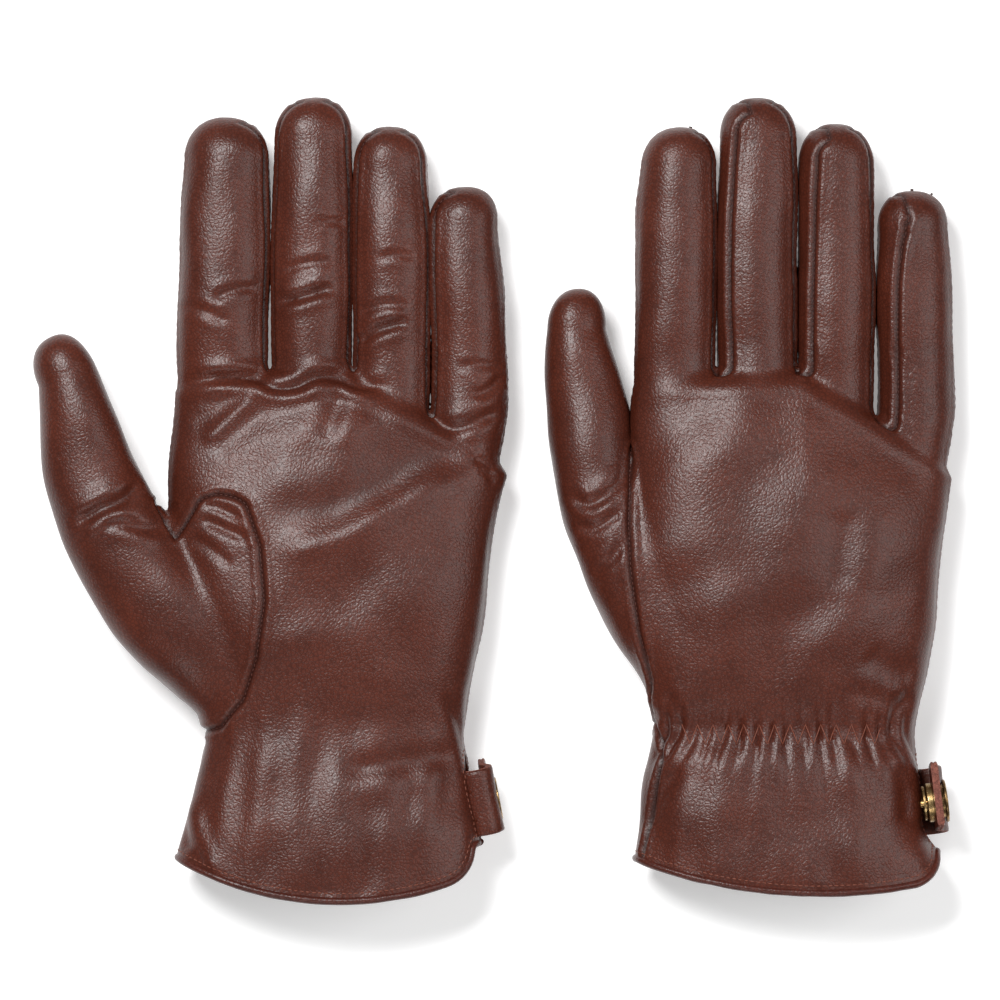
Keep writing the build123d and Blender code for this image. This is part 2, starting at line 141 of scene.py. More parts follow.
def outline_depth(xy: np.ndarray, outline: np.ndarray) -> np.ndarray:
    """How deep points lie inside a closed outline; below 0 outside it."""
    closed = np.vstack([outline, outline[:1]])
    gap, _ = line_distance(xy, closed)
    inside = np.zeros(len(xy), bool)
    for a, b in zip(closed, closed[1:]):
        crosses = (a[1] > xy[:, 1]) != (b[1] > xy[:, 1])
        x = a[0] + (xy[:, 1] - a[1]) * (b[0] - a[0]) / (b[1] - a[1] if b[1] != a[1] else 1e-9)
        inside ^= crosses & (xy[:, 0] < x)
    return np.where(inside, gap, -gap)


def ripple(p: np.ndarray, size: float, seed: int, waves: int = 9) -> np.ndarray:
    """Smooth uneven relief between about -1 and 1, with hollows about size apart."""
    rng = np.random.default_rng(seed)
    total = np.zeros(len(p))
    for _ in range(waves):
        way = rng.normal(size=3)
        way *= rng.uniform(0.6, 1.5) / np.linalg.norm(way)
        total += np.sin(p @ way * (2 * math.pi / size) + rng.uniform(0, 2 * math.pi))
    return total / math.sqrt(waves)


def soft_min(a: np.ndarray, b: np.ndarray, blend: float) -> np.ndarray:
    """The lower of two distances, rounded where they are within blend of each other."""
    h = np.clip(blend - np.abs(a - b), 0.0, None) / blend
    return np.minimum(a, b) - h * h * blend * 0.25


# ---------------------------------------------------------------- meshing


def surface_net(values: np.ndarray, low: np.ndarray, step: float) -> tuple[np.ndarray, np.ndarray]:
    """The zero surface of a grid of distances, as quads that face outwards.

    Args:
        values: the distances, below 0 inside.
        low: the place of the grid's first value.
        step: the grid's spacing.

    Returns:
        The vertices and the quads.
    """
    inside = values < 0
    corners = [(i, j, k) for i in (0, 1) for j in (0, 1) for k in (0, 1)]
    shape = tuple(n - 1 for n in values.shape)

    def shifted(block: np.ndarray, corner: tuple) -> np.ndarray:
        """The block's cells seen from one of their corners."""
        i, j, k = corner
        return block[i : i + shape[0], j : j + shape[1], k : k + shape[2]]

    count = sum(shifted(inside, c).astype(np.int8) for c in corners)
    mixed = (count > 0) & (count < 8)
    number = np.full(shape, -1, np.int64)
    number[mixed] = np.arange(int(mixed.sum()))
    at = [shifted(values, c)[mixed] for c in corners]
    total = np.zeros((int(mixed.sum()), 3))
    hits = np.zeros(int(mixed.sum()))
    for m, a in enumerate(corners):
        for n, b in enumerate(corners):
            if n > m and sum(abs(x - y) for x, y in zip(a, b)) == 1:
                cross = (at[m] < 0) != (at[n] < 0)
                t = np.where(cross, at[m] / np.where(cross, at[m] - at[n], 1.0), 0.0)
                spot = np.array(a) + t[:, None] * (np.array(b) - np.array(a))
                total += np.where(cross[:, None], spot, 0.0)
                hits += cross
    cells = np.argwhere(mixed)
    vertices = low + step * (cells + total / hits[:, None])
    quads = []
    for axis in range(3):
        one = inside.take(np.arange(values.shape[axis] - 1), axis)
        two = inside.take(np.arange(1, values.shape[axis]), axis)
        others = [n for n in range(3) if n != axis]
        spots = np.argwhere(one != two)
        sides = spots[:, others]
        keep = np.all(sides > 0, axis=1) & np.all(sides < np.array(shape)[others], axis=1)
        spots = spots[keep]
        flip = one[tuple(spots.T)]
        ring = []
        for da, db in ((0, 0), (-1, 0), (-1, -1), (0, -1)):
            cell = spots.copy()
            cell[:, others[0]] += da
            cell[:, others[1]] += db
            ring.append(number[tuple(cell.T)])
        quad = np.stack(ring, axis=1)
        turn = flip if axis != 1 else ~flip
        quad[~turn] = quad[~turn][:, ::-1]
        quads.append(quad)
    quads = np.concatenate(quads)
    return vertices, quads[(quads >= 0).all(axis=1)]


def new_object(name: str, data: bpy.types.ID | None) -> bpy.types.Object:
    """An object with this data, in the scene."""
    made = bpy.data.objects.new(name, data)
    bpy.context.collection.objects.link(made)
    return made


def make_mesh(name: str, vertices: np.ndarray, faces: list) -> bpy.types.Object:
    """A smooth mesh object from points in millimetres."""
    mesh = bpy.data.meshes.new(name)
    mesh.from_pydata((np.asarray(vertices) * MM).tolist(), [], [list(map(int, f)) for f in faces])
    mesh.update()
    mesh.shade_smooth()
    return new_object(name, mesh)


def bake_modifiers(piece: bpy.types.Object) -> bpy.types.Object:
    """Turn a piece with live modifiers into a plain mesh with none."""
    graph = bpy.context.evaluated_depsgraph_get()
    mesh = bpy.data.meshes.new_from_object(piece.evaluated_get(graph), depsgraph=graph)
    piece.modifiers.clear()
    piece.data = mesh
    return piece


def thicken(piece: bpy.types.Object, thickness: float) -> bpy.types.Object:
    """Give a sheet a wall of thickness millimetres inwards, with closed rims."""
    wall = piece.modifiers.new("wall", "SOLIDIFY")
    wall.thickness = thickness * MM
    wall.offset = -1.0
    wall.use_rim = True
    bake_modifiers(piece)
    piece.data.set_sharp_from_angle(angle=EDGE_ANGLE)
    return piece


def sweep(
    name: str, path: np.ndarray, out: np.ndarray, profile: np.ndarray, scale: np.ndarray
) -> bpy.types.Object:
    """A closed bar along a path.

    Args:
        name: the new object's name.
        path: the path's points.
        out: the outward direction at each point.
        profile: the bar's section, as points (along out, across out and path).
        scale: the section's size at each point.

    Returns:
        The bar, with its ends closed.
    """
    ahead = np.gradient(path, axis=0)
    ahead /= np.linalg.norm(ahead, axis=1)[:, None]
    out = out - (out * ahead).sum(1)[:, None] * ahead
    out /= np.linalg.norm(out, axis=1)[:, None]
    side = np.cross(ahead, out)
    rings = path[:, None] + scale[:, None, None] * (
        profile[None, :, :1] * out[:, None] + profile[None, :, 1:] * side[:, None]
    )
    count, around = len(path), len(profile)
    faces = []
    for i in range(count - 1):
        for j in range(around):
            k = (j + 1) % around
            faces.append((i * around + j, i * around + k, (i + 1) * around + k, (i + 1) * around + j))
    faces.append(list(range(around))[::-1])
    faces.append([(count - 1) * around + j for j in range(around)])
    return make_mesh(name, rings.reshape(-1, 3), faces)


def even_line(points: np.ndarray, pitch: float) -> np.ndarray:
    """The same open line with its points about pitch apart."""
    lengths = np.linalg.norm(np.diff(points, axis=0), axis=1)
    at = np.concatenate([[0.0], np.cumsum(lengths)])
    count = max(int(round(at[-1] / pitch)), 2)
    wanted = np.linspace(0, at[-1], count + 1)
    return np.stack([np.interp(wanted, at, points[:, n]) for n in range(points.shape[1])], axis=1)


def calm_line(points: np.ndarray, rounds: int) -> np.ndarray:
    """The same open line with its small zigzags evened out."""
    points = points.copy()
    for _ in range(rounds):
        points[1:-1] = 0.5 * points[1:-1] + 0.25 * (points[:-2] + points[2:])
    return points


# ---------------------------------------------------------------- shaders


class Socket:
    """An output of a shader node that can be used in sums and products."""

    def __init__(self, graph: "Graph", link: bpy.types.NodeSocket) -> None:
        """Wrap one output socket of a graph."""
        self.graph = graph
        self.link = link

    def _maths(self, operation: str, *values: object) -> "Socket":
        """The result of one Math node."""
        return self.graph.node("ShaderNodeMath", {"operation": operation}, dict(enumerate(values)))

    def __add__(self, other: object) -> "Socket":
        """self + other."""
        return self._maths("ADD", self, other)

    __radd__ = __add__

    def __mul__(self, other: object) -> "Socket":
        """self * other."""
        return self._maths("MULTIPLY", self, other)

    __rmul__ = __mul__

    def __sub__(self, other: object) -> "Socket":
        """self - other."""
        return self._maths("SUBTRACT", self, other)

    def __rsub__(self, other: object) -> "Socket":
        """other - self."""
        return self._maths("SUBTRACT", other, self)

    def __pow__(self, other: object) -> "Socket":
        """self to the power other."""
        return self._maths("POWER", self, other)

    def above(self, low: float, high: float) -> "Socket":
        """0 below low, 1 above high and a smooth step between."""
        settings = {"interpolation_type": "SMOOTHSTEP"}
        values = {"Value": self, "From Min": low, "From Max": high}
        return self.graph.node("ShaderNodeMapRange", settings, values)


class Graph:
    """A material's nodes, made one at a time."""

    def __init__(self, name: str) -> None:
        """Start an empty material."""
        self.material = bpy.data.materials.new(name)
        self.material.use_nodes = True
        self.tree = self.material.node_tree
        self.tree.nodes.clear()
        self.place = self.node("ShaderNodeTexCoord", output="Object")

    def node(
        self, kind: str, settings: dict | None = None, values: dict | None = None, output: object = 0
    ) -> Socket:
        """Add one node.

        Args:
            kind: the node's type.
            settings: its properties, set before its sockets.
            values: socket name or number to a value or a Socket.
            output: the name or number of the output wanted.

        Returns:
            That output.
        """
        made = self.tree.nodes.new(kind)
        for key, value in (settings or {}).items():
            setattr(made, key, value)
        for key, value in (values or {}).items():
            socket = made.inputs[key]
            if isinstance(value, Socket):
                self.tree.links.new(value.link, socket)
            else:
                socket.default_value = value
        return Socket(self, made.outputs[output])

    def noise(self, size: float, detail: float = 2.0, distortion: float = 0.0) -> Socket:
        """Cloudy noise whose lumps are about size metres."""
        values = {"Vector": self.place, "Scale": 1.0 / size, "Detail": detail, "Distortion": distortion}
        return self.node("ShaderNodeTexNoise", {}, values)

    def cells(self, size: float, feature: str, vector: Socket | None = None) -> Socket:
        """A cell pattern whose cells are about size metres."""
        values = {"Vector": vector or self.place, "Scale": 1.0 / size}
        return self.node("ShaderNodeTexVoronoi", {"feature": feature}, values)

    def bent_place(self, size: float, amount: float) -> Socket:
        """The object coordinates pushed about by noise, so that a pattern isn't regular."""
        values = {"Vector": self.place, "Scale": 1.0 / size, "Detail": 1.0}
        push = self.node("ShaderNodeTexNoise", {}, values, "Color")
        half = (0.5, 0.5, 0.5)
        centred = self.node("ShaderNodeVectorMath", {"operation": "SUBTRACT"}, {0: push, 1: half})
        scaled = self.node("ShaderNodeVectorMath", {"operation": "SCALE"}, {0: centred, "Scale": amount})
        return self.node("ShaderNodeVectorMath", {"operation": "ADD"}, {0: self.place, 1: scaled})

    def mix(self, share: object, one: object, two: object) -> Socket:
        """A colour between one and two."""
        settings = {"data_type": "RGBA"}
        return self.node("ShaderNodeMix", settings, {0: share, 6: one, 7: two}, 2)

    def bump(self, height: Socket, depth: float, strength: float = 1.0) -> Socket:
        """A normal that leans with height, over depth metres."""
        values = {"Height": height, "Distance": depth, "Strength": strength}
        return self.node("ShaderNodeBump", {}, values)

    def finish(self, **values: object) -> bpy.types.Material:
        """Close the material with a Principled BSDF whose sockets have these values."""
        titles = {key: key.replace("_", " ").title().replace("Ior", "IOR") for key in values}
        named = {titles[key]: value for key, value in values.items()}
        shader = self.node("ShaderNodeBsdfPrincipled", {}, named)
        out = self.tree.nodes.new("ShaderNodeOutputMaterial")
        self.tree.links.new(shader.link, out.inputs["Surface"])
        return self.material


def linear(value: float) -> float:
    """The linear brightness of a value from 0 to 255 as a screen shows it."""
    share = value / 255.0
    return share / 12.92 if value < 10.3 else ((share + 0.055) / 1.055) ** 2.4


def rgba(red: float, green: float, blue: float) -> tuple:
    """A linear colour from three values as a screen shows them, from 0 to 255."""
    return (linear(red), linear(green), linear(blue), 1.0)


@dataclass(frozen=True)
class LeatherFinish:
    """Smooth nappa leather with a fine pebble grain."""

    name: str
    light: tuple = rgba(90, 40, 26)
    dark: tuple = rgba(65, 27, 17)
    # crease: near-black brown, painted shade in the seam grooves and the fold and pleat valleys; it also
    # darkens the grain's lines and pores
    crease: tuple = rgba(32, 12, 8)
    grain: float = 0.00078
    grain_depth: float = 0.00009
    roughness: float = 0.34

    def build(self) -> bpy.types.Material:
        """The material, which reads the seam attribute of the piece it is on and paints shade where it is
        high.
        """
        g = Graph(self.name)
        bent = g.bent_place(0.0022, 0.0007)
        pebble = g.cells(self.grain, "SMOOTH_F1", bent)
        lines = g.cells(self.grain * 1.55, "DISTANCE_TO_EDGE", bent)
        pores = 1.0 - g.cells(self.grain * 0.62, "F1").above(0.10, 0.34)
        clouds = g.noise(0.030, 3.0)
        patches = g.noise(0.009, 4.0, 0.4)
        fine = g.noise(0.0004, 3.0)
        seam = g.node("ShaderNodeAttribute", {"attribute_name": "seam"}, {}, "Fac")
        grain = (1.0 - pebble) * 0.8 + lines.above(0.0, 0.30) * 0.45 - pores * 0.30 + fine * 0.08
        tone = clouds.above(0.25, 0.75) * 0.35 + patches.above(0.30, 0.75) * 0.25 + 0.15
        base = g.mix(tone, self.dark, self.light)
        # Darker lines and pores of the grain: partly the grain's own colour, partly painted shade in its
        # hollows
        valley = (1.0 - lines.above(0.0, 0.20)) * 0.42 + pores * 0.30
        base = g.mix(valley, base, self.crease)
        # Painted shade: the crease colour along the seam grooves and in the fold and pleat valleys that the
        # seam attribute marks
        base = g.mix(seam.above(0.15, 0.9) * 0.70, base, self.crease)
        rough = patches * 0.10 + self.roughness - 0.05 + seam * 0.10 + pores * 0.06
        normal = g.bump(grain + patches * 0.8, self.grain_depth, 0.85)
        return g.finish(base_color=base, roughness=rough, normal=normal, specular_ior_level=0.30)


@dataclass(frozen=True)
class RawEdgeFinish:
    """The cut edge of leather: paler, matt and fibrous."""

    name: str
    light: tuple = rgba(136, 80, 66)
    dark: tuple = rgba(84, 42, 32)

    def build(self) -> bpy.types.Material:
        """The material."""
        g = Graph(self.name)
        fibre = g.noise(0.0006, 5.0, 1.2)
        base = g.mix(fibre.above(0.35, 0.68), self.dark, self.light)
        return g.finish(base_color=base, roughness=0.85, normal=g.bump(fibre, 0.00025))


@dataclass(frozen=True)
class KnitFinish:
    """A fine brushed knit for the lining."""

    name: str
    light: tuple = rgba(92, 66, 50)
    dark: tuple = rgba(48, 32, 24)
    stitch: float = 0.0011

    def build(self) -> bpy.types.Material:
        """The material."""
        g = Graph(self.name)
        bent = g.bent_place(0.003, 0.0008)
        loops = g.cells(self.stitch, "F1", bent)
        fluff = g.noise(0.0005, 5.0)
        base = g.mix(loops.above(0.1, 0.75) * 0.6 + fluff * 0.4, self.light, self.dark)
        normal = g.bump(fluff * 0.5 - loops, 0.0005)
        return g.finish(
            base_color=base, roughness=0.92, normal=normal, sheen_weight=0.35, sheen_roughness=0.5
        )


@dataclass(frozen=True)
class ThreadFinish:
    """Twisted sewing thread."""

    name: str
    light: tuple = rgba(128, 66, 44)
    dark: tuple = rgba(80, 36, 24)

    def build(self) -> bpy.types.Material:
        """The material."""
        g = Graph(self.name)
        twist = g.noise(0.00018, 2.0)
        base = g.mix(twist.above(0.35, 0.65), self.dark, self.light)
        return g.finish(base_color=base, roughness=0.55, normal=g.bump(twist, 0.00008))


@dataclass(frozen=True)
class BrassFinish:
    """Antique brass: bright, with brown tarnish in cloudy patches."""

    name: str
    bright: tuple = rgba(196, 160, 96)
    dull: tuple = rgba(104, 76, 40)

    def build(self) -> bpy.types.Material:
        """The material."""
        g = Graph(self.name)
        tarnish = g.noise(0.0030, 2.0, 0.3)
        scratches = g.noise(0.0003, 3.0, 2.0)
        base = g.mix(tarnish.above(0.30, 0.75) * 0.7, self.bright, self.dull)
        rough = tarnish * 0.22 + scratches * 0.10 + 0.12
        return g.finish(base_color=base, roughness=rough, metallic=1.0, normal=g.bump(scratches, 0.00002))


# ---------------------------------------------------------------- the glove's form


@dataclass
class Tube:
    """A rounded tube along an axis in the plane, with rounded ends.

    Each station is (along, across, height, half width, half thickness).
    """

    stations: list
    turn: float = 0.0
    start_cap: float = 8.0
    end_cap: float = 12.0
    power: float = 2.25
    shift: object = None

    def __post_init__(self) -> None:
        """Work out the smooth run of the stations."""
        rows = np.array(self.stations, float)
        self.along = np.linspace(rows[0, 0], rows[-1, 0], 240)
        self.rows = smooth_table(rows[:, 0], rows[:, 1:], self.along)
        if self.shift is not None:
            self.rows[:, 0] += self.shift(self.along)
        angle = math.radians(self.turn)
        self.axis = np.array([-math.sin(angle), math.cos(angle)])
        self.across = np.array([math.cos(angle), math.sin(angle)])

    def distance(self, p: np.ndarray, inset: float = 0.0) -> np.ndarray:
        """About how far points are outside the tube, below 0 inside it."""
        u = p[:, :2] @ self.axis
        v = p[:, :2] @ self.across
        low, high = self.along[0], self.along[-1]
        at = np.clip(u, low, high)
        centre, height, wide, thick = (np.interp(at, self.along, self.rows[:, n]) for n in range(4))
        wide = np.maximum(wide - inset, 0.5)
        thick = np.maximum(thick - inset, 0.5)
        end = np.where(u > high, (u - high) / (self.end_cap - inset), (low - u) / self.start_cap)
        end = np.clip(end, 0.0, None)
        cap = np.where(u > high, self.end_cap - inset, self.start_cap)
        n = self.power
        parts = [np.abs(v - centre) / wide, np.abs(p[:, 2] - height) / thick, end]
        k = np.maximum(sum(q**n for q in parts) ** (1.0 / n), 1e-6)
        slope = sum((q ** (n - 1) / size) ** 2 for q, size in zip(parts, (wide, thick, cap)))
        slope = np.sqrt(slope) / k ** (n - 1)
        return (k - 1.0) / np.maximum(slope, 0.02)


class Side(Enum):
    """Which face of the glove lies on top."""

    PALM_UP = 1
    BACK_UP = -1


@dataclass(frozen=True)
class Fold:
    """A crease in the leather of the upper side: a line, its depth and width, and the swell beside it."""

    points: tuple
    depth: float
    width: float
    swell: float = 0.3

    def relief(self, xy: np.ndarray) -> np.ndarray:
        """The height that the fold adds at points of the plane."""
        line = smooth_line(list(self.points)) if len(self.points) > 2 else np.array(self.points, float)
        gap, share = line_distance(xy, line)
        fade = ramp(share, 0.0, 0.22) * (1.0 - ramp(share, 0.78, 1.0))
        valley = -self.depth * bell(gap, self.width)
        beside = self.swell * self.depth * bell(gap - 2.2 * self.width, 1.3 * self.width)
        return (valley + beside) * fade


@dataclass(frozen=True)
class Swell:
    """A broad rise or hollow of the upper side."""

    x: float
    y: float
    length: float
    width: float
    angle: float
    height: float

    def relief(self, xy: np.ndarray) -> np.ndarray:
        """The height that it adds at points of the plane."""
        turn = math.radians(self.angle)
        dx, dy = xy[:, 0] - self.x, xy[:, 1] - self.y
        u = dx * math.cos(turn) + dy * math.sin(turn)
        v = dy * math.cos(turn) - dx * math.sin(turn)
        return self.height * np.exp(-((u / self.length) ** 2) - (v / self.width) ** 2)


@dataclass
class GlovePlan:
    """One glove's sizes in millimetres, in the shared frame."""

    name: str
    side: Side
    hand: list  # y, low x, high x, low z, thickness
    fingers: list  # rows of (y, middle x, height, half width, half thickness), one list a finger
    tips: list
    crotches: list
    distal_skew: tuple  # x where the knuckle line starts to fall back, and its slope
    thumb: list  # along the thumb's axis: along, across, height, half width, half thickness
    thumb_turn: float
    thumb_tip: float
    thumb_spread: float
    thumb_crotch_y: float
    thumb_palm_line: list
    thumb_back_line: list
    hem: list
    hem_corner: float
    folds: list
    swells: list
    seed: int

    def hand_at(self, *heights: float) -> np.ndarray:
        """The hand's low x, high x, low z and thickness, one row for each y."""
        rows = np.array(self.hand)
        return smooth_table(rows[:, 0], rows[:, 1:], np.array(heights))


LEFT = GlovePlan(
    name="left",
    side=Side.PALM_UP,
    hand=[
        (-150.0, -109.5, 4.6, 0.9, 36.0),
        (-112.0, -100.5, -3.2, 0.9, 35.6),
        (-92.0, -94.6, -7.2, 0.9, 34.0),
        (-76.0, -92.0, -9.9, 1.2, 32.0),
        (-55.0, -93.0, -7.2, 0.4, 33.6),
        (-32.0, -97.5, -3.4, 0.0, 34.6),
        (0.0, -103.3, -0.9, 0.0, 32.6),
        (20.0, -102.2, 1.6, 1.0, 28.6),
        (31.0, -101.0, 3.4, 2.2, 25.6),
    ],
    fingers=[
        [(22, -86.4, 15.0, 12.6, 10.2), (38, -86.4, 15.0, 14.0, 10.7), (60, -86.2, 15.2, 14.3, 10.8),
         (85, -85.6, 15.2, 14.2, 10.6), (108, -84.9, 15.0, 13.2, 9.9)],
        [(22, -58.0, 15.0, 11.4, 10.2), (40, -58.1, 15.0, 12.4, 10.7), (65, -58.2, 15.3, 12.8, 10.9),
         (90, -58.0, 15.3, 12.7, 10.6), (115, -57.8, 15.0, 12.2, 9.9)],
        [(16, -32.8, 15.0, 11.0, 10.0), (36, -32.7, 15.0, 12.1, 10.5), (60, -32.6, 15.2, 12.3, 10.6),
         (85, -32.7, 15.2, 12.2, 10.4), (106, -33.0, 15.0, 11.7, 9.7)],
        [(2, -10.8, 15.0, 10.0, 9.6), (15, -9.6, 14.8, 11.0, 9.8), (28, -8.4, 14.5, 11.8, 10.0),
         (50, -8.4, 14.6, 11.8, 10.0), (70, -9.2, 14.6, 11.6, 9.8), (88, -9.9, 14.5, 11.0, 9.2)],
    ],
    tips=[13.0, 12.7, 12.4, 11.1],
    crotches=[(-71.3, 39.4), (-45.0, 39.4), (-20.2, 27.3)],
    distal_skew=(-46.0, 0.55),
    thumb=[
        (-24.0, -102.8, 17.5, 11.0, 10.0),
        (-3.0, -107.1, 18.0, 16.5, 13.0),
        (15.5, -110.9, 18.5, 17.7, 13.5),
        (36.7, -114.2, 19.0, 16.6, 12.6),
        (57.4, -114.1, 19.5, 14.8, 11.6),
        (74.0, -112.0, 20.0, 12.9, 10.6),
        (91.5, -108.0, 20.0, 9.8, 9.0),
    ],
    thumb_turn=24.0,
    thumb_tip=13.2,
    thumb_spread=0.0,
    thumb_crotch_y=-1.5,
    thumb_palm_line=[
        (-107.6, -1.5), (-101.0, -12.5), (-94.6, -2.5), (-93.4, 8.0), (-92.4, 14.0), (-89.1, 15.4),
        (-85.0, 10.5), (-80.2, 3.5), (-74.2, -14.3), (-72.6, -32.4), (-75.1, -50.2), (-79.6, -63.5),
        (-87.0, -72.2), (-93.0, -74.0),
    ],
    thumb_back_line=[
        (-107.6, -1.5), (-101.0, -12.5), (-98.6, -20.0), (-94.5, -45.0), (-88.5, -66.0), (-93.0, -74.0),
    ],
    hem=[(-101.0, -114.6), (-52.2, -127.7), (-14.5, -122.4)],
    hem_corner=13.0,
    folds=[
        Fold(((-69.5, 62.4), (-61.0, 64.0), (-50.0, 67.4)), 1.5, 1.5),
        Fold(((-68.5, 72.0), (-60.0, 74.5), (-50.5, 75.6)), 0.6, 1.3),
        Fold(((-57.0, 87.0), (-52.0, 88.0), (-46.8, 87.3)), 0.5, 1.2),
        Fold(((-90.0, 63.0), (-82.0, 66.4), (-74.4, 67.0)), 0.7, 1.3),
        Fold(((-101.0, 61.5), (-93.0, 60.0), (-83.5, 55.4)), 0.6, 1.4),
        Fold(((-45.0, 48.6), (-37.0, 53.5), (-26.0, 56.4)), 1.4, 1.5),
        Fold(((-43.7, 59.0), (-35.0, 61.6), (-26.5, 61.2)), 0.6, 1.3),
        Fold(((-37.4, 76.0), (-31.0, 77.4), (-24.5, 76.6)), 0.5, 1.2),
        Fold(((-8.0, 32.5), (-2.0, 34.5), (3.4, 39.6)), 0.9, 1.5),
        Fold(((-21.0, 25.0), (-11.6, 22.6), (2.6, 28.4)), 1.1, 1.7),
        Fold(((-12.6, 41.6), (-5.0, 42.6), (3.6, 42.0)), 0.4, 1.2),
        Fold(((-101.5, 36.8), (-88.0, 38.4), (-75.7, 38.2), (-70.0, 35.4), (-63.0, 35.6), (-56.0, 38.6),
              (-48.8, 38.2), (-42.0, 35.8), (-31.0, 36.2)), 1.5, 1.6, 0.5),
        Fold(((-93.0, 17.0), (-84.0, 25.0), (-74.5, 34.0)), -0.9, 2.6, 0.5),
        Fold(((-79.0, -1.5), (-66.0, -3.0), (-52.2, -2.6), (-37.0, 4.4), (-25.6, 11.8), (-4.0, 18.8)),
             1.3, 6.5, 0.4),
        Fold(((-72.0, -18.6), (-48.4, -11.4), (-21.4, 3.6), (-4.0, 10.8)), -0.8, 4.0, 0.0),
        Fold(((-49.0, 37.5), (-50.5, 28.0), (-54.5, 17.0)), 0.8, 3.2, 0.3),
        Fold(((-7.0, 13.2), (-3.5, 11.5), (0.6, 8.8)), 0.9, 1.3),
        Fold(((-6.0, 9.4), (-2.5, 8.0), (0.4, 4.6)), 0.6, 1.2),
        Fold(((-93.6, -6.0), (-86.0, -9.0), (-76.5, -13.5)), 0.8, 1.4),
        Fold(((-94.5, -1.0), (-88.0, -2.5), (-80.0, -6.5)), 0.6, 1.2),
        Fold(((-97.0, -12.0), (-90.0, -15.5), (-82.0, -22.0)), 0.5, 1.5),
        Fold(((-111.0, 6.8), (-116.0, 0.6), (-124.0, -3.2), (-134.5, -8.8)), 1.5, 1.9, 0.5),
        Fold(((-103.5, -8.5), (-110.0, -9.5), (-119.0, -7.5), (-126.0, -9.5)), 0.8, 1.6, 0.4),
        Fold(((-96.5, -92.0), (-93.0, -104.0), (-88.0, -121.0)), -0.8, 2.6, 0.2),
        Fold(((-99.5, -98.0), (-98.4, -104.0), (-96.5, -112.0)), 0.9, 2.0, 0.2),
        Fold(((-50.0, -86.5), (-36.0, -84.0), (-22.0, -82.0), (-8.5, -81.0)), 0.9, 3.4, 0.4),
        Fold(((-17.0, -60.0), (-11.0, -72.0), (-7.0, -84.0), (-5.0, -92.0)), 0.8, 1.9, 0.4),
    ],
    swells=[
        Swell(-61.0, -44.0, 17.0, 7.0, 12.0, 0.9),
        Swell(-95.0, -38.0, 16.0, 12.0, 60.0, 1.3),
        Swell(-14.0, -40.0, 26.0, 9.0, 80.0, 0.8),
        Swell(-50.0, 22.0, 34.0, 6.0, 8.0, 1.0),
        Swell(-45.0, -24.0, 22.0, 14.0, 30.0, -0.9),
        Swell(-46.0, -104.0, 30.0, 9.0, 0.0, 0.5),
    ],
    seed=11,
)

